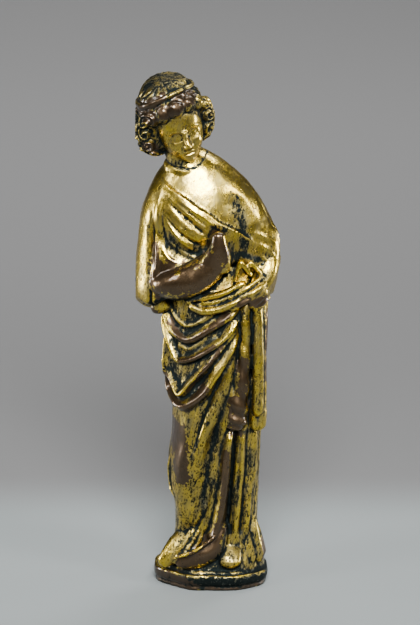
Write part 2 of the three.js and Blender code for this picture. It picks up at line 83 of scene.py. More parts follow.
# Outlines at several heights: height, left, right, front, back. FACE and HAIR are in the head's frame.
SKIRT = [
    (1.5, -7.6, 10.2, 6.9, 7.0),
    (4, -7.3, 10.1, 6.6, 6.8),
    (6, -6.2, 9.7, 5.9, 6.0),
    (8, -5.6, 9.2, 5.4, 5.5),
    (11, -5.4, 8.9, 5.4, 5.3),
    (14, -5.5, 9.0, 5.8, 5.4),
    (18, -6.3, 9.1, 6.2, 5.7),
    (22, -6.6, 9.3, 6.5, 6.0),
    (27, -6.1, 9.5, 6.7, 6.2),
    (32, -5.9, 9.8, 7.0, 6.4),
    (37, -5.9, 9.9, 7.2, 6.6),
    (42, -6.6, 9.9, 7.2, 6.8),
    (47, -6.9, 10.0, 6.9, 6.8),
    (53, -7.0, 10.2, 6.4, 6.6),
    (58, -7.0, 9.5, 5.0, 6.0),
]
MANTLE = [
    (46, -10.8, 10.4, 7.0, 6.9),
    (50, -12.0, 11.1, 7.2, 7.0),
    (53, -12.5, 11.9, 7.3, 6.9),
    (57, -12.3, 12.6, 7.2, 6.8),
    (61, -12.0, 12.4, 7.1, 6.6),
    (65, -11.6, 11.4, 6.9, 6.3),
    (68, -11.0, 10.0, 6.6, 6.0),
    (71, -9.9, 8.1, 5.9, 5.5),
    (73.5, -8.6, 5.8, 4.9, 4.8),
    (75.5, -7.2, 3.4, 4.0, 4.0),
    (77.2, -6.0, 0.8, 2.9, 3.2),
    (78.2, -5.0, -1.0, 1.8, 2.2),
]
FACE = [
    (-7.2, -1.2, 1.2, 3.6, -0.6),
    (-6.7, -2.1, 2.1, 4.3, 0.8),
    (-5.6, -3.0, 3.0, 4.7, 2.0),
    (-4.2, -3.7, 3.7, 4.9, 2.8),
    (-2.6, -4.1, 4.1, 5.0, 3.4),
    (-0.8, -4.3, 4.3, 5.1, 3.8),
    (1.0, -4.4, 4.4, 5.3, 4.0),
    (2.6, -4.2, 4.2, 5.1, 4.0),
    (4.0, -3.5, 3.5, 4.2, 3.6),
]
HAIR = [
    (-5.8, -3.2, 2.8, -1.2, 4.2),
    (-5.0, -5.6, 4.5, 0.8, 5.6),
    (-3.6, -6.8, 5.5, 1.8, 6.3),
    (-1.4, -7.0, 6.1, 2.2, 6.8),
    (0.8, -6.8, 6.0, 3.0, 7.1),
    (2.6, -6.2, 5.4, 4.7, 7.3),
    (4.6, -5.6, 4.85, 4.8, 7.0),
    (6.3, -4.4, 3.9, 3.9, 6.2),
    (7.3, -3.3, 2.8, 2.6, 5.0),
    (7.9, -1.6, 0.9, 0.6, 3.2),
]
# The head's place in millimetres, and its turn, lean and nod in degrees.
HEAD = {"place": (-5.2, -1.2, 83.7), "turn": 12, "lean": -15, "nod": 9, "scale": 0.96}


def smooth_between(rows, at, column=1):
    """Cubic Hermite curve through rows of (position, value, ...), each slope taken from the two
    neighbouring rows, read at an array of positions."""
    table = np.asarray(rows, float)
    place, value = table[:, 0], table[:, column]
    at = np.clip(at, place[0], place[-1])
    low = np.clip(np.searchsorted(place, at, side="left") - 1, 0, len(place) - 2)
    before = np.maximum(np.arange(len(place)) - 1, 0)
    after = np.minimum(np.arange(len(place)) + 1, len(place) - 1)
    slope = (value[after] - value[before]) / (place[after] - place[before])
    step = place[low + 1] - place[low]
    t = (at - place[low]) / step
    return (
        value[low] * (1 - t) ** 2 * (1 + 2 * t)
        + slope[low] * step * t * (1 - t) ** 2
        + value[low + 1] * t * t * (3 - 2 * t)
        - slope[low + 1] * step * t * t * (1 - t)
    )


def smooth_step(value, low, high):
    """0 below low, 1 above high, and 3t^2 - 2t^3 between them."""
    t = np.clip((value - low) / (high - low), 0, 1)
    return t * t * (3 - 2 * t)


def section(outline, angle, height):
    """A level section of superellipse form: x follows sin(angle) and y follows -cos(angle), each
    raised to 2 / SQUARENESS, times the half width and half depth at that height."""
    left = smooth_between(outline, height, 1)
    right = smooth_between(outline, height, 2)
    front = smooth_between(outline, height, 3)
    back = smooth_between(outline, height, 4)
    half_width = (right - left) / 2
    half_depth = np.where(np.cos(angle) > 0, front, back)
    power = 2 / SQUARENESS
    x = (left + right) / 2 + half_width * np.sign(np.sin(angle)) * np.abs(np.sin(angle)) ** power
    y = -half_depth * np.sign(np.cos(angle)) * np.abs(np.cos(angle)) ** power
    out = np.stack([np.sin(angle) * half_depth, -np.cos(angle) * half_width, 0 * angle], -1)
    return np.stack([x, y, height], -1), out / np.linalg.norm(out, axis=-1, keepdims=True)


def laid_out(outline, radius, points):
    """Points (x, height) of the front as it is seen, unrolled to (radius times angle, height)."""
    points = np.asarray(points, float)
    left = smooth_between(outline, points[:, 1], 1)
    right = smooth_between(outline, points[:, 1], 2)
    share = np.clip((points[:, 0] - (left + right) / 2) / ((right - left) / 2), -WIDEST_SHARE, WIDEST_SHARE)
    angle = np.arcsin(np.sign(share) * np.abs(share) ** (SQUARENESS / 2))
    return np.stack([radius * angle, points[:, 1]], -1)


def smooth_path(knots, steps=6):
    """Catmull-Rom curve through the knots: in each span the cubic whose end slopes are half the
    distance between the neighbouring knots, with the end knots repeated."""
    knots = np.asarray(knots, float)
    padded = np.concatenate([2 * knots[:1] - knots[1:2], knots, 2 * knots[-1:] - knots[-2:-1]])
    t = (np.arange(steps) / steps)[None, :, None]
    a, b, c, d = (padded[i : len(padded) - 3 + i, None, :] for i in range(4))
    run = 0.5 * (2 * b + (c - a) * t + (2 * a - 5 * b + 4 * c - d) * t**2 + (3 * b - a - 3 * c + d) * t**3)
    return np.concatenate([run.reshape(-1, knots.shape[1]), knots[-1:]])


def nearest(path, across, up):
    """Distance from places on the unrolled cloth to a path, the side of it (left is positive) and
    the share of the way along it, from the closest of its straight steps."""
    distance = np.full(across.shape, np.inf)
    side = np.ones(across.shape)
    along = np.zeros(across.shape)
    for i, (start, end) in enumerate(zip(path[:-1], path[1:])):
        run, climb = end - start
        share = ((across - start[0]) * run + (up - start[1]) * climb) / (run * run + climb * climb)
        share = np.clip(share, 0, 1)
        away = np.hypot(across - start[0] - share * run, up - start[1] - share * climb)
        closer = away < distance
        turned = np.sign(run * (up - start[1]) - climb * (across - start[0]))
        distance = np.where(closer, away, distance)
        side = np.where(closer, turned, side)
        along = np.where(closer, (i + share) / (len(path) - 1), along)
    return distance, side, along


def worked(kind):
    """A maker of worked lines of one kind: half width, rise, then points (x, height)."""
    return lambda width, rise, *points: {"kind": kind, "width": width, "rise": rise, "points": points}


ridge, groove, edge, form = (worked(kind) for kind in ("ridge", "groove", "edge", "form"))


def behind(stroke):
    """The same worked line on the back, drawn as it is seen from the front."""
    return {**stroke, "back": True}


def tapered(stroke, share):
    """The same worked line, dying away over a share of its length at each end."""
    return {**stroke, "taper": share}


TAPER = 0.12  # the share of a worked line's length over which its ends die away
EDGE_REACH = 3  # how many widths an edge takes to fall off
STEPS_A_SPAN = 4  # straight steps between two points of a worked line


def relief(outline, strokes, radius, angle, height):
    """How far worked lines raise the cloth. A form adds rise * exp(-(d/w)^2) and an edge adds
    rise * exp(-d/3w) on its left. Of the ridges, rise * (1 - (d/w)^2)^1.5, the highest counts, and
    of the grooves the deepest is taken off. d is the distance on the unrolled cloth."""
    raised = np.zeros(angle.shape)
    crest = np.zeros(angle.shape)
    cut = np.zeros(angle.shape)
    turned_back = np.arctan2(-np.sin(angle), -np.cos(angle))
    for stroke in strokes:
        knots = laid_out(outline, radius, stroke["points"])
        across = radius * angle
        if stroke.get("back"):
            knots[:, 0] *= -1
            across = radius * turned_back
        width, rise = stroke["width"], stroke["rise"]
        distance, side, along = nearest(smooth_path(knots, STEPS_A_SPAN), across, height)
        share = distance / width
        taper = stroke.get("taper", TAPER)
        ends = smooth_step(along, -0.05, taper) * (1 - smooth_step(along, 1 - taper, 1.05))
        crown = np.clip(1 - share * share, 0, 1) ** 1.5 * ends * rise
        if stroke["kind"] == "form":
            raised += rise * np.exp(-share * share) * (ends if "taper" in stroke else 1)
        elif stroke["kind"] == "edge":
            raised += np.where(side > 0, rise * ends * np.exp(-share / EDGE_REACH), 0)
        elif stroke["kind"] == "ridge":
            crest = np.maximum(crest, crown)
        else:
            cut = np.maximum(cut, crown)
    return raised + crest - cut


def grid_triangles(rows, columns):
    """Triangles of a grid closed round its columns, with a pole below (vertex 0) and one above."""
    row, column = np.meshgrid(np.arange(rows - 1), np.arange(columns), indexing="ij")
    following = (column + 1) % columns
    a, b = 1 + row * columns + column, 1 + row * columns + following
    d, c = a + columns, b + columns
    walls = [np.stack(corners, -1).reshape(-1, 3) for corners in ([a, b, c], [a, c, d])]
    ring = np.arange(columns)
    after = (ring + 1) % columns
    low = np.stack([0 * ring, 1 + after, 1 + ring], -1)
    last = 1 + (rows - 1) * columns
    high = np.stack([0 * ring + last + columns, last + ring, last + after], -1)
    return np.concatenate([*walls, low, high])


def closed_grid(points, low, high):
    """A closed shell from points[row, column] and a pole at each end."""
    rows, columns = points.shape[:2]
    flat = np.concatenate([np.asarray([low], float), points.reshape(-1, 3), np.asarray([high], float)])
    return flat, grid_triangles(rows, columns)


def angles_round(columns, rows, crowding=CROWDING):
    """The angle of each column of a grid, 0 in front and within half a turn each way. An even turn
    t becomes t - crowding * sin(t), which sets the columns closer in front."""
    turn = 2 * np.pi * np.arange(columns) / columns
    turn = turn - crowding * np.sin(turn)
    return np.broadcast_to(np.arctan2(np.sin(turn), np.cos(turn)), (rows, columns))


def draped(outline, strokes, radius, columns, rows, low, high, crowding=CROWDING, extra=None):
    """A closed form: level sections up an outline, moved out along the section's normal by the
    relief of its worked lines and by an extra rise of its own, a function of angle and height."""
    angle = angles_round(columns, rows, crowding)
    height = np.linspace(outline[0][0], outline[-1][0], rows)[:, None] + 0 * angle
    points, out = section(outline, angle, height)
    rise = relief(outline, strokes, radius, angle, height)
    if extra is not None:
        rise = rise + extra(angle, height)
    return closed_grid(points + rise[..., None] * out, low, high)


LAST_CLOSING = 0.97  # how far the quarter ellipse at a bar's end has closed at its last ring


def swept(stations, sides=24, steps=12, outward=(0, -1, 0), rounding=(0.1, 0.1), profile=None):
    """A closed bar along a smooth path through stations (x, y, z, half width, half thickness). The
    thickness faces outward, square to the path, and both ends close in a quarter ellipse. profile
    gives (across, out) for the angle round the bar and the share of the way along it."""
    path = smooth_path(stations, steps)
    centre, half_width, half_thickness = path[:, :3], path[:, 3], path[:, 4]
    tangent = np.gradient(centre, axis=0)
    tangent /= np.linalg.norm(tangent, axis=1, keepdims=True)
    facing = np.asarray(outward, float)
    facing = facing - (tangent @ facing)[:, None] * tangent
    facing /= np.linalg.norm(facing, axis=1, keepdims=True)
    sideways = np.cross(facing, tangent)
    along = np.linspace(0, 1, len(path))
    start, end = rounding
    from_start = np.clip(1 - along / start, 0, LAST_CLOSING) ** 2
    from_end = np.clip(1 - (1 - along) / end, 0, LAST_CLOSING) ** 2
    closing = np.sqrt(1 - (from_start + from_end))
    angle = 2 * np.pi * np.arange(sides) / sides
    across, out = np.cos(angle)[None, :], np.sin(angle)[None, :]
    if profile is not None:
        across, out = profile(angle[None, :], along[:, None])
    points = (
        centre[:, None, :]
        + sideways[:, None, :] * (across * (half_width * closing)[:, None])[..., None]
        + facing[:, None, :] * (out * (half_thickness * closing)[:, None])[..., None]
    )
    return closed_grid(points, centre[0], centre[-1])


def lump(place, half_sizes, sides=24, rings=14, shape=None):
    """An ellipsoid about a place; shape multiplies its reach by a function of longitude and
    latitude."""
    latitude = (np.arange(1, rings) / rings - 0.5)[:, None] * np.pi
    longitude = (2 * np.pi * np.arange(sides) / sides)[None, :]
    reach = 1 if shape is None else shape(longitude, latitude)
    unit = np.stack(
        np.broadcast_arrays(
            np.cos(latitude) * np.sin(longitude) * reach,
            -np.cos(latitude) * np.cos(longitude) * reach,
            np.sin(latitude) * reach,
        ),
        -1,
    )
    place, half_sizes = np.asarray(place, float), np.asarray(half_sizes, float)
    pole = np.array([0, 0, half_sizes[2]])
    return closed_grid(place + unit * half_sizes, place - pole, place + pole)


def ellipse_ring(profile, half_width, half_depth, columns, squareness):
    """A closed solid of revolution, flattened to a superellipse: profile holds (share of the half
    size, height), from the underside up."""
    turn = 2 * np.pi * np.arange(columns) / columns
    power = 2 / squareness
    across = np.sign(np.sin(turn)) * np.abs(np.sin(turn)) ** power
    along = -np.sign(np.cos(turn)) * np.abs(np.cos(turn)) ** power
    share, height = np.asarray(profile, float).T
    points = np.stack(
        [
            half_width * share[:, None] * across,
            half_depth * share[:, None] * along,
            height[:, None] + 0 * across,
        ],
        -1,
    )
    return closed_grid(points, (0, 0, height[0]), (0, 0, height[-1]))


# The base's uneven outline: (share drawn in, lobes round it, shift in radians).
BASE_WAVES = ((0.012, 3, 1.1), (0.01, 8, 0), (0.005, 13, 2))
# Where the outline stands out or is broken away: (share, angle in radians from the front, width).
BASE_CORNERS = ((0.02, -1.5, 0.25), (-0.1, -0.95, 0.36))


def base_parts():
    """The oval base: a plinth with a lip, a channel, and a mound with a ledge under the feet. Its
    outline is drawn in by share * (1 + cos(lobes * turn + shift)) and moved at each corner by
    share * exp(-((turn - angle) / width)^2). Its top leans a little with sines of the turn."""
    top = BASE["thickness"]
    profile = smooth_path(
        [
            (0.93, 0.0),
            (0.97, 0.2),
            (0.965, 0.6),
            (0.945, 0.8),
            (0.975, 1.0),
            (0.995, 1.3),
            (1.0, top - 0.4),
            (0.99, top - 0.1),
            (0.965, top + 0.05),
            (0.93, top),
            (0.905, top - 0.4),
            (0.88, top - 0.35),
            (0.86, top + 0.2),
            (0.835, top + 0.4),
            (0.8, top + 0.35),
            (0.7, top + 0.3),
            (0.4, top + 1.0),
        ],
        4,
    )
    sizes = BASE["half_width"], BASE["half_depth"]
    points, faces = ellipse_ring(profile, *sizes, 240, BASE["squareness"])
    turn = np.arctan2(points[:, 0], -points[:, 1])
    drawn_in = sum(share * (1 + np.cos(lobes * turn + shift)) for share, lobes, shift in BASE_WAVES)
    corner = sum(share * np.exp(-(((turn - at) / width) ** 2)) for share, at, width in BASE_CORNERS)
    points[:, :2] *= (1 - drawn_in + corner)[:, None]
    above_lip = points[:, 2] > 1
    points[:, 2] *= 1 + (0.05 * np.sin(2 * turn + 0.6) - 0.1 * np.sin(turn)) * above_lip
    return [(points + (BASE["x"], 0, 0), faces)]


def back_pleats(count, width, rise, *spread):
    """Pleats down the back, fanned from a middle line: (middle, spread, height) from the top."""
    places = [i / (count - 1) - 0.5 for i in range(count)]
    return [
        behind(ridge(width, rise, *((middle + wide * place, z) for middle, wide, z in spread)))
        for place in places
    ]


def skirt_parts():
    """The gown and the mantle's looped folds over it."""
    fold_b = [(-7.2, 50.5), (-5.9, 47.3), (-4.5, 45.9), (-2.7, 45.6), (1.1, 48.0), (5.6, 51.9)]
    fold_c = [
        (-7.6, 50.5),
        (-7.0, 47.8),
        (-5.9, 44.8),
        (-4.9, 42.0),
        (-4.2, 41.5),
        (-2.5, 42.1),
        (-0.1, 43.6),
        (2.7, 45.8),
        (5.5, 49.8),
    ]
    fold_d = [
        (-7.3, 47.2),
        (-6.8, 42.6),
        (-5.8, 38.8),
        (-4.6, 36.4),
        (-3.8, 35.6),
        (-3.1, 36.4),
        (-2.3, 37.9),
        (-0.1, 40.7),
        (1.3, 42.7),
        (5.4, 48.8),
    ]
    fold_e = [
        (-7.6, 43.6),
        (-7.1, 39.3),
        (-6.0, 36.0),
        (-4.6, 34.2),
        (-3.3, 33.6),
        (-1.5, 34.8),
        (0.3, 37.0),
        (2.2, 40.3),
        (5.3, 46.9),
    ]
    diagonal = [(5.0, 45.5), (3.7, 40.5), (2.4, 36.0), (0.8, 31.5), (-0.6, 26.5), (-1.9, 20.5)]
    beside_it = [(4.9, 39.0), (4.3, 35.0), (3.5, 31.0), (2.4, 26.0), (1.2, 20.6), (-0.1, 14.6)]
    loops = [
        form(3.4, 1.1, (-2.7, 34.0), (-3.0, 25.0), (-3.7, 15.0)),
        form(1.2, 0.9, (4.6, 51.0), (4.5, 43.0), (3.8, 35.0), (3.4, 31.0)),
        ridge(1.0, 0.8, *fold_b),
        edge(0.5, 0.4, *[(x, z - 0.7) for x, z in fold_b]),
        ridge(0.5, 0.35, (-6.2, 50.8), (-4.8, 48.5), (-3.2, 47.8), (-0.6, 49.0), (1.5, 50.6)),
        ridge(0.8, 0.9, *fold_c),
        edge(0.5, 0.45, *[(x, z - 0.55) for x, z in fold_c]),
        ridge(0.3, 0.2, (-4.6, 44.2), (-3.2, 43.6), (-1.0, 45.0), (1.2, 47.0)),
        ridge(1.0, 0.95, *fold_d),
        edge(0.5, 0.45, *[(x, z - 0.5) for x, z in fold_d]),
        ridge(0.3, 0.25, (-1.6, 40.2), (0.2, 42.6), (2.2, 45.4), (4.2, 48.0)),
        ridge(1.2, 1.15, *fold_e),
        edge(0.5, 0.6, *[(x, z - 0.9) for x, z in fold_e]),
        ridge(0.35, 0.3, (2.4, 39.4), (3.8, 42.6), (5.2, 46.0)),
    ]
    falls = [
        tapered(ridge(1.3, 0.8, *diagonal), 0.4),
        tapered(groove(0.35, 0.35, (3.6, 43.0), (2.2, 38.5), (0.6, 34.0), (-0.9, 29.5), (-2.0, 24.0)), 0.35),
        tapered(ridge(1.0, 0.6, *beside_it), 0.3),
        tapered(form(1.6, -0.8, (2.2, 30.0), (1.2, 24.5), (-0.2, 18.0), (-1.8, 11.6)), 0.25),
        tapered(ridge(0.7, 0.5, (2.6, 24.6), (1.7, 19.6), (0.8, 15.1), (-0.3, 10.8)), 0.3),
        ridge(1.15, 1.6, (4.1, 29.6), (3.4, 25.2), (3.0, 19.7), (2.5, 14.6), (1.7, 10.6), (0.8, 8.4)),
        tapered(groove(0.35, 0.25, (3.6, 27.0), (3.1, 20.0), (2.6, 14.0)), 0.3),
        groove(0.5, 1.4, (5.0, 29.0), (4.6, 21.5), (4.1, 16.0), (3.5, 10.6), (3.1, 6.4)),
        ridge(1.0, 0.75, (6.1, 30.0), (5.9, 21.5), (5.4, 16.0), (4.9, 8.4)),
        tapered(groove(0.25, 0.3, (5.8, 28.0), (5.5, 21.5), (5.0, 12.0)), 0.3),
        groove(0.4, 0.6, (7.2, 29.5), (6.9, 21.5), (6.3, 15.1), (5.9, 9.5)),
        ridge(1.2, 0.75, (8.3, 30.0), (8.0, 21.5), (7.3, 16.0), (6.8, 9.0)),
        tapered(groove(0.3, 0.3, (8.2, 27.0), (7.8, 20.0), (7.2, 12.0)), 0.3),
        tapered(groove(0.4, 0.45, (9.5, 29.0), (9.2, 21.0), (8.3, 13.0)), 0.25),
        tapered(ridge(0.4, 0.55, (-6.2, 23.4), (-6.4, 20.4), (-5.9, 17.4), (-4.7, 15.2)), 0.3),
        form(2.2, 0.7, (-3.6, 12.0), (-4.6, 8.6)),
        tapered(groove(0.4, 0.45, (-0.4, 13.6), (-1.8, 10.6), (-3.6, 8.4)), 0.3),
        tapered(groove(0.4, 0.4, (0.6, 11.0), (-1.2, 8.4), (-3.8, 6.8)), 0.3),
    ]
    back = back_pleats(4, 1.7, 1.0, (1.5, 7, 50), (1.6, 12, 30), (1.5, 14, 5))
    return [
        draped(SKIRT, loops + falls + back, CLOTH_RADIUS, 340, 420, (BASE["x"], 0, 1.5), (0, 0, 59))
    ]


# The mantle's lower rim: degrees from the front, height.
MANTLE_RIM = [
    (-180, 47.0),
    (-115, 48.4),
    (-75, 51.2),
    (-56, 50.9),
    (-33, 52.2),
    (-17, 53.6),
    (-3, 55.3),
    (12, 58.0),
    (27, 59.2),
    (43, 56.4),
    (60, 53.4),
    (100, 51.0),
    (180, 47.0),
]


RIM_ROUNDING = 0.7


def mantle_parts():
    """The mantle round the shoulders, cut off below along its rim."""
    folds = [
        form(1.8, 0.9, (11.6, 63.5), (11.7, 60.0), (10.8, 56.0), (9.4, 53.8)),
        form(1.6, -1.0, (-8.2, 64.0), (-6.4, 61.8), (-3.2, 60.8), (0.2, 61.8)),
        form(2.2, -0.7, (5.2, 69.0), (6.2, 66.0), (6.8, 63.0), (6.6, 60.0)),
        form(1.5, 0.35, (8.6, 70.0), (9.8, 66.0), (10.4, 62.0)),
        edge(0.35, 0.55, (8.6, 62.4), (5.9, 64.6), (2.7, 66.4), (-1.1, 69.1), (-4.3, 71.3), (-7.4, 73.6)),
        tapered(ridge(0.5, 0.3, (-5.0, 71.0), (-1.7, 68.5), (1.1, 66.5), (4.6, 64.4)), 0.4),
        tapered(form(1.0, 0.28, (-7.4, 72.4), (-3.4, 69.0), (-0.4, 66.5), (2.2, 64.4)), 0.35),
        tapered(ridge(0.4, 0.22, (-7.2, 71.8), (-3.6, 68.4), (-0.8, 66.0), (0.9, 64.4)), 0.4),
        tapered(groove(0.45, 0.35, (-6.9, 70.8), (-4.2, 67.9), (-1.4, 65.5), (0.6, 63.9)), 0.35),
        tapered(form(0.8, 0.24, (-8.0, 70.6), (-4.6, 66.6), (-1.7, 64.4), (0.2, 63.6)), 0.35),
        tapered(ridge(0.3, 0.22, (-7.4, 68.8), (-5.0, 66.0), (-2.4, 63.9), (-0.2, 63.0)), 0.4),
        tapered(groove(0.35, 0.4, (-7.3, 68.0), (-5.2, 65.2), (-2.6, 63.1), (-0.4, 62.2)), 0.35),
        tapered(ridge(0.35, 0.25, (-7.2, 66.6), (-5.2, 64.0), (-2.6, 61.9), (-0.6, 61.2)), 0.4),
        tapered(ridge(0.35, 0.22, (-7.6, 64.6), (-5.9, 62.3), (-3.4, 60.6), (-1.2, 60.4)), 0.4),
        tapered(ridge(0.4, 0.25, (-8.4, 62.6), (-6.8, 60.2), (-4.6, 59.0)), 0.4),
        tapered(groove(0.45, 1.1, (-9.0, 69.0), (-9.5, 62.0), (-9.5, 55.0), (-9.3, 44.0)), 0.4),
        tapered(ridge(0.45, 0.35, (-8.6, 64.0), (-8.6, 57.0), (-8.6, 49.0)), 0.3),
        tapered(form(0.9, 0.4, (-7.6, 73.0), (-8.2, 67.5), (-7.9, 61.0)), 0.4),
        tapered(groove(0.35, 0.35, (-7.2, 70.5), (-7.6, 65.6), (-7.2, 61.6)), 0.4),
        groove(0.3, 0.45, (2.7, 77.0), (6.9, 72.9), (9.8, 68.0), (11.9, 61.8), (12.1, 57.0)),
        tapered(ridge(0.5, 0.22, (8.2, 64.4), (10.0, 63.4), (11.6, 61.8)), 0.4),
        tapered(ridge(0.35, 0.25, (9.0, 62.6), (10.5, 61.0), (11.4, 59.4)), 0.4),
        tapered(ridge(0.35, 0.25, (9.2, 60.6), (10.2, 59.2), (10.8, 57.6)), 0.4),
    ]
    back = back_pleats(4, 1.8, 0.9, (-2.4, 5, 73.5), (0.4, 13, 62), (0.6, 16, 49))
    strokes = folds + back
    columns, rows = 380, 260
    angle = angles_round(columns, rows)
    rim = smooth_between(MANTLE_RIM, np.degrees(angle))
    height = rim + np.linspace(0, 1, rows)[:, None] * (MANTLE[-1][0] - rim)
    points, out = section(MANTLE, angle, height)
    rise = relief(MANTLE, strokes, CLOTH_RADIUS, angle, height)
    # The rim is rounded under, so that the cloth has a thickness.
    tucked = np.clip(1 - (height - rim) / RIM_ROUNDING, 0, 1) ** 2
    points = points + ((rise - RIM_ROUNDING * tucked)[..., None]) * out
    return [closed_grid(points, (0, 0, 57), (-3.9, 0, 78.4))]


def fold_profile(grooves, depth):
    """An oval whose outer side carries lengthwise grooves: out is scaled by 1 less depth times a
    cosine of the place across."""

    def profile(angle, along):
        across = np.cos(angle)
        furrow = 0.5 - 0.5 * np.cos(np.pi * grooves * (across + 1) + 0 * along)
        return across + 0 * along, np.sin(angle) * (1 - depth * (1 - furrow) * (np.sin(angle) > 0))

    return profile


def boxy_profile(power):
    """A flattened superellipse: the cosine and the sine of the angle, each raised to a power."""

    def profile(angle, along):
        cosine, sine = np.cos(angle) + 0 * along, np.sin(angle) + 0 * along
        return np.sign(cosine) * np.abs(cosine) ** power, np.sign(sine) * np.abs(sine) ** power

    return profile


def wrapped_profile(turns, lobes, depth):
    """An oval with slanting folds: both reaches are scaled by 1 plus depth times the cosine of the
    angle times lobes plus the way along times turns."""

    def profile(angle, along):
        swell = 1 + depth * np.cos(lobes * angle + 2 * np.pi * turns * along)
        return np.cos(angle) * swell, np.sin(angle) * swell

    return profile


def fingers(stations, step, lengths):
    """Fingers side by side: each is the first one moved on by a step, with its last stations
    drawn in to its own share of the length."""
    first = np.asarray(stations, float)
    made = []
    for i, share in enumerate(lengths):
        finger = first.copy()
        finger[:, :3] += np.asarray(step) * i
        finger[1:, :3] = finger[0, :3] + (finger[1:, :3] - finger[0, :3]) * share
        made.append(swept(finger, 16, 6, rounding=(0.1, 0.16)))
    return made


def arm_parts():
    """The forearm wrapped in the mantle with its raised hand, and the sleeve and fist opposite."""
    forearm = [
        (-9.0, -1.4, 55.2, 2.1, 1.9),
        (-7.2, -4.6, 55.0, 2.7, 2.4),
        (-4.0, -6.4, 55.8, 2.9, 2.7),
        (-0.8, -6.9, 57.4, 2.8, 2.6),
        (1.2, -7.3, 59.4, 2.5, 2.1),
        (2.0, -7.4, 61.0, 2.1, 1.6),
    ]
    sleeve = [
        (11.0, -1.6, 60.0, 1.9, 1.9),
        (10.6, -3.4, 57.9, 2.1, 2.0),
        (9.7, -5.0, 56.0, 1.9, 1.7),
        (9.0, -6.0, 54.8, 1.5, 1.3),
    ]
    raised_hand = [
        (1.4, -7.6, 58.0, 3.0, 1.7),
        (1.7, -8.2, 60.2, 2.5, 1.4),
        (2.0, -8.5, 62.0, 1.85, 1.2),
        (2.1, -8.6, 63.5, 1.3, 1.0),
        (2.05, -8.5, 64.6, 1.15, 0.95),
        (2.0, -8.3, 65.4, 1.05, 0.9),
    ]
    cuff = [
        (-8.4, -2.6, 63.5, 0.6, 0.7),
        (-8.5, -3.8, 60.0, 0.9, 0.9),
        (-8.4, -4.7, 57.0, 1.2, 1.1),
        (-8.4, -4.8, 54.0, 1.2, 1.1),
    ]
    thumb = [(3.6, -7.8, 59.6, 0.7, 0.6), (3.4, -8.3, 61.6, 0.6, 0.5), (3.0, -8.5, 63.4, 0.45, 0.4)]
    gripping_finger = [
        (10.3, -5.4, 55.9, 0.6, 0.6),
        (9.4, -7.3, 55.3, 0.62, 0.62),
        (8.0, -8.2, 54.3, 0.6, 0.58),
        (7.1, -7.9, 53.3, 0.5, 0.5),
    ]
    return [
        swept(forearm, 60, 14, rounding=(0.12, 0.06), profile=wrapped_profile(1.6, 3, 0.03)),
        swept(raised_hand, 32, 10, rounding=(0.1, 0.17)),
        swept(cuff, 28, 8, rounding=(0.15, 0.15)),
        swept(thumb, 20, 8, rounding=(0.1, 0.2)),
        swept(sleeve, 40, 8, rounding=(0.1, 0.1), profile=wrapped_profile(1.2, 3, 0.04)),
        lump((8.9, -6.3, 54.0), (1.9, 1.5, 2.0)),
        *fingers(gripping_finger, (0.16, 0.14, -0.95), (1.0, 1.0, 0.95, 0.85)),
    ]


def gathered_parts():
    """Two rolls of the mantle drawn to the hand, the bights over the thumb, folds fanning down
    from the grip, and the tuck under the elbow."""
    upper_roll = [
        (-3.0, -6.5, 51.9, 0.55, 0.7),
        (-2.6, -6.6, 52.8, 0.6, 0.75),
        (0.0, -7.1, 53.3, 0.62, 0.8),
        (3.2, -7.6, 54.3, 0.6, 0.75),
        (6.8, -7.5, 56.2, 0.55, 0.65),
    ]
    lower_roll = [
        (-3.0, -6.6, 51.7, 0.6, 0.75),
        (-0.6, -7.3, 50.9, 0.75, 0.85),
        (2.4, -7.7, 51.4, 0.75, 0.9),
        (5.0, -7.9, 52.7, 0.65, 0.85),
        (7.6, -7.2, 54.4, 0.6, 0.7),
    ]
    between_rolls = [
        (-1.6, -6.8, 52.0, 0.35, 0.5),
        (1.6, -7.4, 52.5, 0.4, 0.55),
        (4.6, -7.7, 53.8, 0.35, 0.5),
    ]
    bight = [
        (4.7, -6.4, 55.2, 0.45, 0.55),
        (5.2, -7.2, 57.6, 0.42, 0.5),
        (5.9, -7.5, 59.7, 0.42, 0.5),
        (6.6, -7.5, 58.9, 0.42, 0.5),
        (7.9, -7.0, 57.0, 0.45, 0.55),
    ]
    second_bight = [
        (6.9, -6.8, 57.6, 0.4, 0.5),
        (7.6, -7.1, 59.5, 0.4, 0.5),
        (8.5, -6.8, 58.5, 0.4, 0.5),
        (9.4, -6.1, 57.2, 0.45, 0.5),
    ]
    fanned = [(9.8, -6.3, 57.0, 0.36, 0.45), (7.0, -7.9, 55.2, 0.42, 0.5), (3.6, -7.8, 53.0, 0.36, 0.45)]
    tuck = [(-6.6, -3.2, 51.6, 1.5, 1.3), (-8.2, -3.0, 50.4, 1.4, 1.2), (-9.3, -2.4, 49.6, 1.0, 1.0)]
    fans = [
        swept([(x + 0.25 * i, y - 0.1 * i, z - 0.95 * i, w, t) for x, y, z, w, t in fanned], 16, 8)
        for i in range(3)
    ]
    return [
        swept(upper_roll, 24, 10, rounding=(0.07, 0.05), profile=fold_profile(1, 0.15)),
        swept(lower_roll, 24, 10, rounding=(0.07, 0.05)),
        swept(between_rolls, 16, 10, rounding=(0.2, 0.1)),
        swept(bight, 18, 8),
        swept(second_bight, 18, 8),
        *fans,
        swept(tuck, 24, 8, rounding=(0.2, 0.3), profile=wrapped_profile(0.5, 2, 0.12)),
    ]


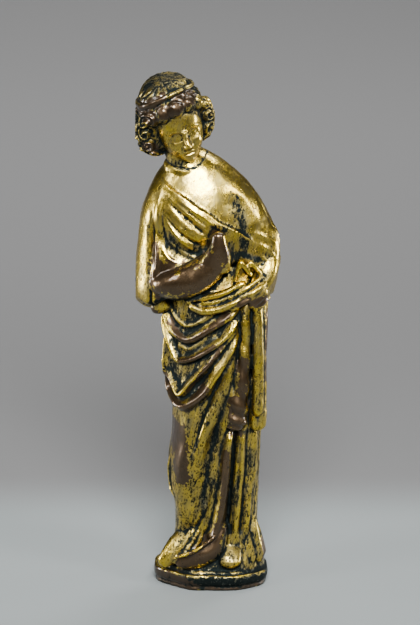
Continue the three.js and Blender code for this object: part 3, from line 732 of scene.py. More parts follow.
def hanging_parts():
    """The mantle's end hanging below the fist in pleats of different lengths."""
    broad = [
        (6.8, -6.9, 52.6, 0.8, 0.9),
        (6.8, -7.2, 45.5, 0.95, 1.0),
        (6.3, -7.3, 40.0, 1.25, 1.15),
        (5.6, -7.4, 34.5, 1.6, 1.3),
        (5.15, -7.3, 31.2, 1.8, 1.4),
        (5.0, -7.1, 29.2, 1.5, 1.2),
    ]
    middle = [(8.8, -6.6, 52.0, 0.9, 0.9), (9.0, -6.9, 42.0, 1.05, 1.05), (8.8, -6.8, 31.6, 1.05, 1.0)]
    outer = [(9.8, -5.2, 53.0, 0.6, 0.8), (9.9, -5.6, 42.0, 0.55, 0.75), (9.7, -5.5, 32.4, 0.7, 0.8)]
    edge_fold = [(10.2, -3.4, 53.0, 0.5, 0.65), (10.1, -3.9, 44.0, 0.45, 0.65), (9.8, -4.0, 37.0, 0.45, 0.55)]
    low = [(8.9, -5.5, 35.0, 1.3, 0.8), (8.9, -5.9, 31.2, 1.55, 1.0), (8.9, -5.8, 28.6, 1.3, 0.9)]
    return [
        swept(broad, 36, 12, rounding=(0.05, 0.12), profile=wrapped_profile(6.0, 1, 0.14)),
        swept(middle, 24, 14, rounding=(0.05, 0.07)),
        swept(outer, 24, 14, rounding=(0.05, 0.07)),
        swept(edge_fold, 18, 12, rounding=(0.05, 0.1)),
        swept(low, 30, 8, rounding=(0.1, 0.25), profile=fold_profile(2, 0.25)),
    ]


def foot_parts():
    """The shoes under the hem, and the cloth that trails between and beside them over the base."""
    right_shoe = [
        (-2.4, -2.6, 8.8, 2.1, 2.0),
        (-4.4, -3.8, 7.4, 2.2, 1.8),
        (-6.0, -4.5, 5.8, 1.9, 1.5),
        (-7.3, -4.8, 4.6, 1.35, 1.1),
        (-8.2, -4.8, 3.8, 0.8, 0.7),
    ]
    left_shoe = [
        (4.9, -2.6, 7.6, 1.4, 1.2),
        (4.4, -4.6, 6.4, 1.8, 1.3),
        (4.1, -6.2, 5.0, 1.9, 1.15),
        (4.1, -7.2, 3.9, 1.3, 0.75),
    ]
    train = [
        (2.9, -5.0, 12.0, 0.8, 1.2),
        (2.5, -5.8, 9.4, 1.1, 1.1),
        (1.4, -6.3, 7.3, 1.6, 0.95),
        (-0.8, -6.5, 5.9, 1.8, 0.8),
        (-3.2, -6.3, 4.8, 1.5, 0.6),
        (-5.2, -6.2, 4.1, 0.9, 0.4),
    ]
    side_train = [
        (7.8, -1.4, 11.0, 1.0, 1.3),
        (8.6, -1.8, 7.4, 1.4, 1.6),
        (9.5, -2.0, 4.2, 1.2, 1.3),
    ]
    hem_folds = [
        [
            (7.6, -1.6, 15.0, 0.6, 0.7),
            (8.0, -2.8, 11.0, 0.9, 0.7),
            (8.5, -3.4, 7.4, 1.1, 0.65),
            (9.3, -3.8, 4.0, 1.2, 0.5),
        ],
        [
            (6.3, -2.6, 13.0, 0.5, 0.6),
            (6.7, -3.7, 9.6, 0.8, 0.5),
            (7.2, -4.2, 6.8, 1.0, 0.45),
            (7.9, -4.7, 4.0, 1.1, 0.35),
        ],
    ]
    instep = [
        (-0.6, -4.2, 11.6, 1.1, 0.6),
        (-2.2, -5.0, 8.6, 1.6, 0.6),
        (-4.0, -5.6, 6.2, 1.7, 0.55),
        (-5.9, -5.8, 4.5, 1.2, 0.4),
    ]
    hem_line = [
        (2.1, -6.5, 10.4, 0.26, 0.3),
        (0.4, -7.1, 8.8, 0.28, 0.35),
        (-2.5, -7.3, 6.9, 0.3, 0.35),
        (-6.2, -6.6, 5.4, 0.24, 0.3),
    ]
    return [
        swept(right_shoe, 36, 10, rounding=(0.1, 0.2)),
        swept(left_shoe, 32, 10, rounding=(0.1, 0.2), profile=boxy_profile(0.9)),
        swept(train, 36, 10, rounding=(0.05, 0.2), profile=fold_profile(1, 0.12)),
        swept(side_train, 32, 10, rounding=(0.1, 0.2), profile=fold_profile(2, 0.25)),
        swept(instep, 40, 10, rounding=(0.1, 0.2), profile=fold_profile(3, 0.4)),
        swept(hem_line, 14, 8, rounding=(0.15, 0.2)),
        *[swept(fold, 24, 8, rounding=(0.1, 0.2)) for fold in hem_folds],
    ]


def collar_parts():
    """The low collar, a flat band round the front of the neck."""
    collar = [
        (-7.0, -0.4, 76.4, 0.7, 0.35),
        (-6.2, -2.6, 75.3, 0.8, 0.38),
        (-4.3, -3.9, 74.8, 0.9, 0.4),
        (-2.0, -3.6, 74.9, 0.85, 0.4),
        (0.0, -2.2, 76.0, 0.75, 0.4),
    ]
    return [swept(collar, 24, 10, rounding=(0.1, 0.1))]


# A calm, regular face: eyes half way up the head and an eye's width apart, the nose ending half
# way from brow to chin, and the mouth a third of the way from nose to chin.
EYE_X, EYE_Z = 1.5, -1.4


def face_strokes():
    """The features, as worked lines on the front of the head."""
    middle = [
        ridge(0.55, 0.75, (0, -0.3), (0, -1.6), (0, -3.4)),
        form(0.55, 0.35, (0, -2.9), (0, -3.5)),
        form(0.5, 0.55, (0, -3.55), (0, -3.7)),
        ridge(0.32, 0.24, (-1.05, -5.0), (-0.5, -4.8), (0, -4.88), (0.5, -4.8), (1.05, -5.0)),
        ridge(0.36, 0.28, (-0.85, -5.3), (0, -5.48), (0.85, -5.3)),
        groove(0.2, 0.28, (-1.15, -5.08), (0, -5.12), (1.15, -5.08)),
        form(0.75, -0.2, (-0.3, -5.95), (0.3, -5.95)),
        form(0.9, 0.5, (0, -6.6), (0, -6.75)),
    ]
    socket = [(EYE_X - 0.4, EYE_Z), (EYE_X + 0.4, EYE_Z - 0.05)]
    eyeball = [(EYE_X - 0.35, EYE_Z - 0.1), (EYE_X + 0.35, EYE_Z - 0.1)]
    upper_lid = [(0.75, -1.65), (1.15, -1.18), (1.75, -1.1), (2.4, -1.55)]
    lower_lid = [(0.85, -1.8), (1.5, -2.02), (2.2, -1.75)]
    brow = [(0.7, -0.55), (1.1, -0.25), (1.9, -0.1), (2.8, -0.55)]
    nostril = [(0.55, -3.75), (0.5, -3.6)]
    cheek = [(2.2, -3.0), (2.4, -3.4)]
    sides = [
        maker(width, rise, *((side * x, z) for x, z in points))
        for side in (-1, 1)
        for maker, width, rise, points in (
            (form, 0.8, -0.5, socket),
            (form, 0.42, 0.34, eyeball),
            (ridge, 0.22, 0.16, upper_lid),
            (ridge, 0.18, 0.08, lower_lid),
            (form, 0.4, 0.22, brow),
            (form, 0.3, 0.3, nostril),
            (form, 1.2, 0.35, cheek),
        )
    ]
    return middle + sides


BAND = {"height": 5.1, "fall": 0.45, "rise": 1.4, "half_width": 0.5, "half_thickness": 0.4}


def band_height(turn):
    """The height of the band round the crown: height + fall * sin(turn) + rise * cos(turn)."""
    return BAND["height"] + BAND["fall"] * np.sin(turn) + BAND["rise"] * np.cos(turn)


FIRST_CURL, CURL_STEP = 62, 36  # degrees from the face to the first column of curls, and between
CURL_COLUMNS, CURL_ROWS = 4, 4  # columns on each side, and curls in a column
CURL_DROP = 2.5  # from a curl to the one below it
CURL_RADIUS = 2.35
CURL_WIDTH, CURL_HEIGHT = 0.85, 1.25  # a curl's distances are scaled by these
CURL_PITCH, FURROW = 1.45, 0.75  # of the spiral, and the depth of its furrow
CURL_EYE = 0.8  # the furrow fades within this distance of the curl's middle
LOCKS, LOCK_RISE = 9, 0.6  # half turns of the combed locks round the crown, and how deep they lie
BAND_PRESS, BAND_DEPTH = 0.8, 0.2  # how wide and how deep the band presses the hair in


def curl_places():
    """Centres of the curls as (degrees from the face, height, rise): staggered columns round the
    head, four on each side and one behind."""
    places = []
    for column in range(CURL_COLUMNS):
        top = 2.6 if column % 2 == 0 else 1.2
        rise = 1.2 if column < 2 else 1.0
        for side, lower in ((-1, 0.0), (1, 0.5)):
            turn = side * (FIRST_CURL + CURL_STEP * column)
            places += [(turn, top - lower - CURL_DROP * row, rise) for row in range(CURL_ROWS)]
    return places


def hair_rise(angle, height):
    """Combed locks on the crown, rise * |cos| of the angle about it with a slow wave, and below
    them a dome for each curl with a spiral furrow: cos(angle in the curl - 2 pi r / pitch). All of
    it is pressed in by exp(-(d/w)^2) at a distance d from the band."""
    sweep = 1.8 * np.sin(0.8 * height + 2 * angle) + 0.7 * np.sin(2.3 * height - 5 * angle)
    locks = np.abs(np.cos(LOCKS * angle + sweep)) ** 0.45
    crown = smooth_step(height, 2.4, 4.0)
    rise = (locks - LOCK_RISE) * crown
    for index, (turn, z, swell) in enumerate(curl_places()):
        aside = np.mod(angle - math.radians(turn) + np.pi, 2 * np.pi) - np.pi
        across = CURL_WIDTH * HAIR_RADIUS * aside
        up = CURL_HEIGHT * (height - z)
        reach = np.hypot(across, up)
        dome = np.clip(1 - (reach / CURL_RADIUS) ** 2, 0, 1) ** 0.6
        hand = 1 if turn > 0 else -1
        winding = hand * np.arctan2(up, across) - 2 * np.pi * reach / CURL_PITCH + index
        furrow = FURROW * (0.5 + 0.5 * np.cos(winding)) * np.clip(reach / CURL_EYE, 0, 1)
        rise = np.maximum(rise, dome * swell - furrow * (dome > 0))
    pressed = np.exp(-(((height - band_height(angle)) / BAND_PRESS) ** 2))
    return rise * (1 - pressed) - BAND_DEPTH * pressed


def band_parts():
    """The band round the crown, low on the left and high in front, laid on the hair's own outline.
    Its width is the half width times 1 - 0.3 * sin(turn). Two halves."""
    parts = []
    for first in (-100, 80):
        turn = np.radians(first + np.linspace(0, 200, 16))
        points, out = section(HAIR, np.arctan2(np.sin(turn), np.cos(turn)), band_height(turn))
        points = points + 0.15 * out
        narrowing = 1 - 0.3 * np.sin(turn)
        sizes = np.stack([BAND["half_thickness"] + 0 * turn, BAND["half_width"] * narrowing], -1)
        stations = np.concatenate([points, sizes], -1)
        parts.append(swept(stations, 20, 4, outward=(0, 0, 1), rounding=(0.02, 0.02)))
    return parts


# Locks of the fringe: degrees from the middle of the face, height, half width, half height.
FRINGE = [
    (-56, 2.7, 1.3, 1.5),
    (-31, 3.5, 1.45, 1.6),
    (-3, 4.0, 1.65, 1.6),
    (25, 4.0, 1.5, 1.5),
    (48, 3.3, 1.2, 1.5),
]


def turned(axis, angle):
    """The matrix of a turn by an angle about x, y or z, given as 0, 1 or 2."""
    i, j = (axis + 1) % 3, (axis + 2) % 3
    matrix = np.eye(3)
    matrix[i, i] = matrix[j, j] = math.cos(angle)
    matrix[i, j], matrix[j, i] = -math.sin(angle), math.sin(angle)
    return matrix


def fringe_parts():
    """The fringe rolled over the brow: a bar round the forehead that the locks sit on, each an
    ellipsoid with slanting strands, 1 + depth * cos(5 longitude + 2.5 latitude)."""
    turn = np.radians(np.linspace(-56, 56, 12))
    lift = np.cos(turn * 1.4)
    stations = np.stack(
        [
            5.0 * np.sin(turn),
            0.5 - 4.9 * np.cos(turn),
            2.3 + 1.8 * lift,
            0.9 + 0.35 * lift,
            0.9 + 0.25 * lift,
        ],
        -1,
    )

    def strands(longitude, latitude):
        return 1 + 0.04 * np.cos(5 * longitude + 2.5 * latitude) * np.cos(latitude)

    made = [swept(stations, 30, 8, rounding=(0.06, 0.06))]
    for degrees, height, half_width, half_height in FRINGE:
        along = math.radians(degrees)
        place = np.array([5.35 * math.sin(along), 0.5 - 5.35 * math.cos(along), height])
        points, faces = lump((0, 0, 0), (half_width, 1.15, half_height), 48, 28, strands)
        made.append((points @ turned(2, along).T + place, faces))
    return made


def head_pose():
    """The turn about z, then the nod about x, then the lean about y, with the head's scale."""
    turn, lean, nod = (math.radians(HEAD[name]) for name in ("turn", "lean", "nod"))
    return turned(1, lean) @ turned(0, nod) @ turned(2, turn) * HEAD["scale"]


def head_parts():
    """Face, hair, band, fringe and neck, set in the head's own frame and then inclined."""
    parts = [
        draped(FACE, face_strokes(), FACE_RADIUS, 200, 130, (0, -1.8, -7.5), (0, 0, 4.4), 0.45),
        draped(HAIR, [], HAIR_RADIUS, 320, 200, (-0.9, 1.5, -6.4), (-0.3, 1.4, 8.0), 0.0, hair_rise),
        *band_parts(),
        *fringe_parts(),
    ]
    placed = [(points @ head_pose().T + HEAD["place"], faces) for points, faces in parts]
    x, y, z = HEAD["place"]
    neck = [
        (-3.6, -0.2, 73.0, 3.4, 3.4),
        (-3.9, -0.6, 76.0, 3.0, 3.0),
        (x + 0.3, y + 0.8, z - 3.4, 3.0, 3.0),
    ]
    return placed + [swept(neck, 40, 10, rounding=(0.02, 0.02))]


def mesh_from(name, parts):
    """One mesh object from several closed shells of triangles, in millimetres."""
    counts = np.cumsum([0] + [len(points) for points, _ in parts[:-1]])
    points = np.concatenate([points for points, _ in parts]).astype(np.float32)
    faces = [faces + shift for (_, faces), shift in zip(parts, counts)]
    faces = np.concatenate(faces).astype(np.int32)
    mesh = bpy.data.meshes.new(name)
    mesh.vertices.add(len(points))
    mesh.vertices.foreach_set("co", points.ravel())
    mesh.loops.add(faces.size)
    mesh.loops.foreach_set("vertex_index", faces.ravel())
    mesh.polygons.add(len(faces))
    mesh.polygons.foreach_set("loop_start", np.arange(0, faces.size, 3, dtype=np.int32))
    mesh.update(calc_edges=True)
    piece = bpy.data.objects.new(name, mesh)
    bpy.context.scene.collection.objects.link(piece)
    return piece


def apply_modifiers(piece):
    """Puts the piece's modifiers into its mesh."""
    depsgraph = bpy.context.evaluated_depsgraph_get()
    finished = bpy.data.meshes.new_from_object(piece.evaluated_get(depsgraph))
    piece.modifiers.clear()
    old = piece.data
    piece.data = finished
    bpy.data.meshes.remove(old)


def fused(name, parts, voxel):
    """The shells joined into one skin, on a grid of the given size."""
    piece = mesh_from(name, parts)
    remesh = piece.modifiers.new("Fuse", "REMESH")
    remesh.mode = "VOXEL"
    remesh.voxel_size = voxel
    apply_modifiers(piece)
    return piece


def vertex_array(mesh, name):
    """The places ("co") or the normals ("vector") of the mesh's vertices as an array."""
    values = np.empty(len(mesh.vertices) * 3, np.float32)
    source = mesh.vertices if name == "co" else mesh.vertex_normals
    source.foreach_get(name, values)
    return values.reshape(-1, 3).astype(float)


def edge_array(mesh):
    """The vertex pairs of the mesh's edges."""
    edges = np.empty(len(mesh.edges) * 2, np.int32)
    mesh.edges.foreach_get("vertices", edges)
    return edges.reshape(-1, 2)


def neighbour_mean(values, edges, degree):
    """The mean over each vertex's neighbours of values[vertex, column]."""
    total = np.empty_like(values)
    for column in range(values.shape[1]):
        a = np.bincount(edges[:, 0], values[edges[:, 1], column], len(values))
        b = np.bincount(edges[:, 1], values[edges[:, 0], column], len(values))
        total[:, column] = a + b
    return total / degree[:, None]


def eased(values, edges, steps, forward=0.5, backward=0.0):
    """Values moved towards their neighbours' mean by a share, then away again by another (which
    keeps the volume), for a number of steps."""
    degree = np.maximum(np.bincount(edges.ravel(), minlength=len(values)), 1)
    for _ in range(steps):
        values = values + forward * (neighbour_mean(values, edges, degree) - values)
        if backward:
            values = values - backward * (neighbour_mean(values, edges, degree) - values)
    return values


def waves(points, size, count, seed):
    """A smooth unevenness between about -1 and 1: the sum of plane waves of about the given
    length in seeded directions, over the root of their number."""
    rng = np.random.default_rng(seed)
    direction = rng.normal(size=(count, 3))
    direction /= np.linalg.norm(direction, axis=1, keepdims=True)
    length = size * rng.uniform(0.7, 1.4, count)
    phase = rng.uniform(0, 2 * np.pi, count)
    total = np.sin(points @ (direction / length[:, None]).T * 2 * np.pi + phase).sum(1)
    return total / math.sqrt(count)


# Where the gilding is worn to bare copper, as (half width, strength, then points (x, height) as
# seen from in front).
WORN = [
    (3.1, 1.1, (-7.7, 57.4), (-7.2, 55.9), (-4.4, 56.2), (-1.0, 57.8), (1.2, 59.8)),
    (2.3, 1.1, (1.4, 60.0), (1.9, 61.6)),
    (1.45, 1.1, (1.9, 61.8), (2.1, 64.4)),
    (1.0, 1.05, (-8.8, 61.6), (-8.5, 57.5), (-8.3, 53.5)),
    (1.8, 1.1, (-5.1, 28.8), (-4.7, 24.5), (-4.3, 20.4)),
    (1.3, 1.0, (6.5, 42.0), (6.3, 39.0), (5.9, 35.0)),
    (1.9, 1.1, (5.6, 34.5), (5.2, 29.0)),
    (0.6, 1.0, (10.7, 50.0), (10.6, 38.0)),
    (0.8, 1.0, (-6.2, 48.0), (-4.5, 45.8), (-2.7, 45.5), (1.1, 48.0), (3.6, 50.2)),
    (0.55, 1.0, (-4.6, 41.6), (-2.5, 42.2), (-0.1, 43.7), (1.8, 45.0)),
    (0.8, 1.1, (-7.2, 38.0), (-6.4, 35.4), (-5.4, 34.2)),
    (1.1, 1.1, (-5.4, 34.1), (-4.2, 33.5), (-3.4, 33.3), (-1.8, 35.0), (-0.4, 36.8)),
    (0.55, 1.0, (-3.2, 36.4), (-1.2, 39.4), (1.0, 42.2), (2.6, 44.6)),
    (0.9, 1.1, (3.4, 25.0), (3.1, 17.0), (2.4, 12.0)),
    (1.7, 1.1, (2.0, 10.5), (0.6, 7.4), (-1.2, 5.8), (-4.2, 4.6)),
    (1.4, 1.1, (6.5, 52.6), (9.6, 52.8)),
    (0.8, 1.2, (-13.0, 84.6), (-12.2, 85.6), (-10.4, 87.2), (-7.6, 89.0)),
    (1.5, 1.2, (-10.2, 85.4), (-9.4, 85.0)),
    (1.3, 0.9, (-10.2, 79.6), (-9.2, 79.2)),
    (1.5, 1.3, (-7.4, 86.4), (-6.2, 86.9), (-4.2, 88.2), (-3.2, 88.8)),
    (1.6, 1.1, (-9.8, 2.0), (-6.0, 1.3), (-2.6, 0.8)),
    (0.5, 0.9, (0.0, 0.4), (6.0, 0.3), (10.6, 0.8)),
    (0.8, 1.0, (10.2, 8.0), (10.4, 4.0)),
    (1.0, 0.9, (-10.2, 50.0), (-8.8, 49.4)),
]
# Where the gilding is darkest, in the same way: with dirt, and with painted shade in the crook of the arm,
# between the chest and the right arm, round the raised hand, behind the bights, under the forearm and the
# elbow, between the hanging pleats and under their ends.
SOILED_AND_SHADED = [
    (0.4, 0.9, (-7.8, 77.4), (-6.6, 76.2), (-4.2, 75.5), (-1.8, 75.8), (0.2, 77.6)),
    # Painted shade in the hollow between the chest and the right arm, over dirt.
    (1.9, 0.62, (4.6, 70.5), (6.4, 66.0), (7.0, 61.5)),
    # Painted shade round the tip of the raised hand.
    (1.1, 0.74, (0.4, 62.8), (1.3, 65.8), (3.4, 65.2)),
    # Painted shade behind the bights over the thumb.
    (0.9, 0.95, (4.6, 57.0), (5.6, 60.6), (8.8, 59.6)),
    # Painted shade in the crook above the forearm, over dirt.
    (2.4, 0.6, (-6.8, 63.6), (-3.8, 61.6), (-0.6, 61.4)),
    # Painted shadow in the gap right of the raised hand.
    (1.5, 0.7, (4.2, 62.4), (4.6, 58.4), (4.2, 56.4)),
    (0.6, 0.6, (-10.1, 66.0), (-10.0, 56.0), (-9.9, 51.0)),
    (0.45, 0.8, (-12.0, 66.0), (-12.5, 58.0), (-12.6, 50.0)),
    # The next two: painted shadow under the forearm, the mantle's rim and the elbow.
    (0.8, 1.0, (-10.0, 51.4), (-7.6, 52.4), (-3.0, 53.0), (0.8, 54.6), (3.6, 57.0)),
    (1.2, 0.7, (-10.2, 50.2), (-8.4, 49.2)),
    (1.4, 0.45, (8.6, 62.0), (10.2, 59.0), (10.0, 57.0)),
    (1.6, 0.5, (-4.0, 49.6), (1.0, 50.6)),
    (1.8, 0.5, (1.6, 43.0), (4.6, 50.4)),
    # The next two: painted shade in the gaps between the hanging pleats.
    (0.5, 0.9, (7.8, 51.0), (7.7, 44.0), (7.5, 33.0)),
    (0.35, 0.7, (9.9, 51.0), (10.0, 33.0)),
    (2.2, 0.55, (4.2, 38.0), (2.2, 30.0), (0.4, 22.0), (-1.8, 15.0), (-4.6, 10.0)),
    (0.7, 0.9, (4.8, 28.6), (4.3, 18.0), (3.3, 10.0), (2.6, 6.0)),
    (0.7, 0.6, (7.4, 28.0), (6.9, 18.0), (6.3, 9.0)),
    (0.6, 0.5, (9.7, 30.0), (9.1, 14.0)),
    # Painted shadow under the ends of the hanging pleats.
    (0.9, 0.8, (5.6, 28.6), (9.8, 28.0)),
    (1.8, 0.8, (-9.8, 1.6), (-5.0, 0.9), (0.0, 0.7), (6.0, 0.7), (10.8, 1.0)),
    (1.8, 0.5, (-6.0, 18.0), (-5.2, 12.0)),
    (1.4, 0.65, (9.2, 9.0), (9.9, 4.4)),
    (1.2, 0.6, (-9.0, 3.6), (-6.0, 3.4)),
    (1.3, 0.6, (4.4, 8.0), (4.6, 4.6)),
]
# A darkening over the robes and base by height, heaviest on the base and least on the chest: height,
# strength.
DARKENING_BY_HEIGHT = [
    (0.0, 1.1),
    (2.3, 1.0),
    (2.9, 0.72),
    (3.3, 0.56),
    (10.0, 0.54),
    (30.0, 0.52),
    (50.0, 0.48),
    (57.0, 0.3),
    (66.0, 0.18),
    (74.0, 0.14),
    (78.0, 0.25),
]
HAIR_DIRT, FACE_DIRT = 0.66, 0.24


def robe_darkening(points):
    """The darkening over the robes and base, by height."""
    return smooth_between(DARKENING_BY_HEIGHT, points[:, 2])


def head_dirt(points):
    """The dirt all over the head: thick in the hair, thin within an oval on the face."""
    x, y, z = ((points - HEAD["place"]) @ head_pose() / HEAD["scale"] ** 2).T
    off_face = smooth_step(np.hypot(x / 4.0, (z + 2.2) / 4.9), 0.9, 1.1)
    return FACE_DIRT + (HAIR_DIRT - FACE_DIRT) * np.maximum(off_face, smooth_step(y, -3.0, -1.5))


def painted(strokes, points, normals):
    """How strongly each vertex lies in some patches: the highest over them of strength * (1.25 -
    d / half width), where d is the distance in the front view, on faces turned to the front."""
    share = np.zeros(len(points))
    for width, strength, *path in strokes:
        distance, _, _ = nearest(smooth_path(path, STEPS_A_SPAN), points[:, 0], points[:, 2])
        share = np.maximum(share, strength * np.clip(1.25 - distance / width, 0, 1))
    return share * smooth_step(-normals[:, 1], -0.35, 0.15)


def write_attribute(mesh, name, values):
    """A float on every vertex."""
    attribute = mesh.attributes.new(name, "FLOAT", "POINT")
    attribute.data.foreach_set("value", values.astype(np.float32))


# The cast unevenness: (share of its height, length of its waves, how many, seed).
CAST_WAVES = ((1.0, 4.5, 14, 3), (0.5, 1.8, 20, 5), (0.25, 0.9, 24, 7))
# The fine and the broad smoothing that hollows and crests are told by, in steps.
SMOOTHINGS = (8, 50)
# How far below or above its smoothed surroundings a vertex starts to count, over what further
# distance it comes to count in full, and for how much, in the fine and in the broad smoothing.
HOLLOWS = ((0.004, 0.06, 0.5), (0.1, 0.5, 0.25))
CRESTS = ((0.0, 0.1, 0.4), (0.0, 0.5, 0.6))
# A crest sheds the painted shade together with the grime.
CREST_CLEAN = 0.6  # how much of the grime a crest sheds


def counted(depths, ramps):
    """The sum over the smoothings of share * (depth - start) / over, held between 0 and share."""
    return sum(
        share * np.clip((depth - start) / over, 0, 1)
        for depth, (start, over, share) in zip(depths, ramps)
    )


def finish_surface(piece, unevenness, dirt):
    """Eases the grid's steps, adds the cast unevenness, moves the figure to its place in metres
    and writes the attributes that the finish reads: crest, from how far a vertex lies above its
    surroundings, bare, and grime_and_shade, the patina that gathers where it lies below them, over
    the darkening that dirt gives and the dirt and painted shade of the soiled and shaded patches."""
    mesh = piece.data
    edges = edge_array(mesh)
    points = eased(vertex_array(mesh, "co"), edges, 3, 0.5, 0.52)
    mesh.vertices.foreach_set("co", points.astype(np.float32).ravel())
    mesh.update()
    normals = vertex_array(mesh, "vector")
    uneven = unevenness * sum(share * waves(points, *rest) for share, *rest in CAST_WAVES)
    above_foot = smooth_step(points[:, 2], 0.2, 1.2)
    points = points + normals * (uneven * above_foot)[:, None]
    depths = [((eased(points, edges, steps) - points) * normals).sum(1) for steps in SMOOTHINGS]
    recess = counted(depths, HOLLOWS)
    crest = counted([-depth for depth in depths], CRESTS)
    # Dirt and painted shade: the larger of the darkening over all and the soiled and shaded patches.
    soiled_and_shaded = np.maximum(dirt(points), painted(SOILED_AND_SHADED, points, normals))
    write_attribute(mesh, "crest", crest)
    write_attribute(mesh, "bare", painted(WORN, points, normals))
    write_attribute(mesh, "grime_and_shade", soiled_and_shaded + recess - CREST_CLEAN * crest)
    # The left curls would pass the solid's box by 0.6 mm and the crown by 0.3 mm. They are held to it,
    # so the size comparison can't show it.
    placed = np.clip((points - MIDDLE) * MM, CAD_LOW, CAD_HIGH)
    mesh.vertices.foreach_set("co", placed.astype(np.float32).ravel())
    mesh.update()


MOST_TRIANGLES = 190000  # of one piece


def thinned(piece):
    """Collapses the shortest edges until the piece has no more than its share of triangles."""
    triangles = len(piece.data.loops) - 2 * len(piece.data.polygons)
    if triangles > MOST_TRIANGLES:
        decimate = piece.modifiers.new("Thin", "DECIMATE")
        decimate.ratio = MOST_TRIANGLES / triangles
        apply_modifiers(piece)
    piece.data.shade_smooth()


def new_group(name, inputs, outputs):
    """A shader node group with named sockets; returns the group, its nodes and both ends."""
    group = bpy.data.node_groups.new(name, "ShaderNodeTree")
    for direction, sockets in (("INPUT", inputs), ("OUTPUT", outputs)):
        for socket, kind in sockets.items():
            group.interface.new_socket(name=socket, in_out=direction, socket_type=f"NodeSocket{kind}")
    return group, group.nodes.new("NodeGroupInput"), group.nodes.new("NodeGroupOutput")


def math_node(tree, operation, a, b=None, clamp=False):
    """A Math node on links or numbers; returns its output."""
    node = tree.nodes.new("ShaderNodeMath")
    node.operation = operation
    node.use_clamp = clamp
    for socket, value in zip(node.inputs, (a, b)):
        if value is None:
            continue
        if isinstance(value, (int, float)):
            socket.default_value = value
        else:
            tree.links.new(value, socket)
    return node.outputs[0]


def between_node(tree, value, low, high):
    """0 below low and 1 above high, smoothly; returns the output."""
    node = tree.nodes.new("ShaderNodeMapRange")
    node.interpolation_type = "SMOOTHSTEP"
    node.inputs["From Min"].default_value = low
    node.inputs["From Max"].default_value = high
    tree.links.new(value, node.inputs["Value"])
    return node.outputs["Result"]


def noise_node(tree, position, scale, detail, roughness):
    """A noise of the given cells a metre at a position; returns its value, 0 to 1."""
    node = tree.nodes.new("ShaderNodeTexNoise")
    node.inputs["Scale"].default_value = scale
    node.inputs["Detail"].default_value = detail
    node.inputs["Roughness"].default_value = roughness
    tree.links.new(position, node.inputs["Vector"])
    return node.outputs["Fac"]


def mixed(tree, share, a, b):
    """The colour a turned to b by a share; a and b are links or colours."""
    node = tree.nodes.new("ShaderNodeMix")
    node.data_type = "RGBA"
    tree.links.new(share, node.inputs["Factor"])
    for socket, value in ((node.inputs[6], a), (node.inputs[7], b)):
        if isinstance(value, (tuple, list)):
            socket.default_value = value
        else:
            tree.links.new(value, socket)
    return node.outputs[2]


def ragged_mask_group():
    """Turns a soft mask into one with a ragged edge, by adding two noises before the threshold,
    the second three times as fine."""
    group, inside, outside = new_group(
        "Ragged Mask",
        {"Mask": "Float", "Position": "Vector", "Cells": "Float", "Raggedness": "Float"},
        {"Mask": "Float"},
    )
    ragged = inside.outputs["Mask"]
    for finer in (1.0, 3.1):
        scaled = group.nodes.new("ShaderNodeVectorMath")
        scaled.operation = "SCALE"
        group.links.new(inside.outputs["Position"], scaled.inputs[0])
        cells = math_node(group, "MULTIPLY", inside.outputs["Cells"], finer)
        group.links.new(cells, scaled.inputs["Scale"])
        speckle = math_node(group, "SUBTRACT", noise_node(group, scaled.outputs[0], 1.0, 2.0, 0.6), 0.5)
        speckle = math_node(group, "MULTIPLY", speckle, inside.outputs["Raggedness"])
        ragged = math_node(group, "ADD", ragged, speckle)
    group.links.new(between_node(group, ragged, 0.46, 0.54), outside.inputs["Mask"])
    return group


def pits_group():
    """Small round pits: near the centres of scattered cells, in the cells whose random value is below the
    amount.
    """
    group, inside, outside = new_group(
        "Casting Pits", {"Position": "Vector", "Cells": "Float", "Amount": "Float"}, {"Pits": "Float"}
    )
    cells = group.nodes.new("ShaderNodeTexVoronoi")
    group.links.new(inside.outputs["Position"], cells.inputs["Vector"])
    group.links.new(inside.outputs["Cells"], cells.inputs["Scale"])
    near = math_node(group, "SUBTRACT", 1.0, between_node(group, cells.outputs["Distance"], 0.18, 0.38))
    parts = group.nodes.new("ShaderNodeSeparateColor")
    group.links.new(cells.outputs["Color"], parts.inputs[0])
    chosen = math_node(group, "LESS_THAN", parts.outputs[0], inside.outputs["Amount"])
    group.links.new(math_node(group, "MULTIPLY", near, chosen), outside.inputs["Pits"])
    return group


def attribute_node(tree, name):
    """The value of a vertex attribute."""
    node = tree.nodes.new("ShaderNodeAttribute")
    node.attribute_name = name
    return node.outputs["Fac"]


def use_group(tree, group, **inputs):
    """A group node with links or values on its sockets."""
    node = tree.nodes.new("ShaderNodeGroup")
    node.node_tree = group
    for name, value in inputs.items():
        if isinstance(value, (int, float)):
            node.inputs[name].default_value = value
        else:
            tree.links.new(value, node.inputs[name])
    return node


def drawn_out(tree, position, length, lean):
    """The position for a pattern drawn out to a length, in cells, along upright lines that lean to
    the right by some degrees."""
    node = tree.nodes.new("ShaderNodeMapping")
    node.vector_type = "TEXTURE"
    node.inputs["Scale"].default_value = (1.0, 1.0, length)
    node.inputs["Rotation"].default_value = (0.0, math.radians(lean), 0.0)
    tree.links.new(position, node.inputs["Vector"])
    return node.outputs["Vector"]


def sum_of(tree, *terms):
    """The sum of (value, factor) pairs and plain numbers; returns the output."""
    total = None
    for term in terms:
        if isinstance(term, tuple):
            term = math_node(tree, "MULTIPLY", *term)
        total = term if total is None else math_node(tree, "ADD", total, term)
    return total


# Cells a metre of the finish's patterns.
CELLS = {
    "clouds": 350,
    "broad_clouds": 130,
    "patches": 600,
    "scratches": 2600,
    "grain": 1500,
    "dents": 850,
    "worn_edge": 480.0,
    "flecks": 2400.0,
    "pits": 2300.0,
    "fine_pits": 3800.0,
}
# How far the patterns are drawn out along upright lines, in cells, and how far these lean in degrees.
STREAKS, PATCHES, BRUSHING = (2.2, 10), (3.5, 12), (8.0, 14)


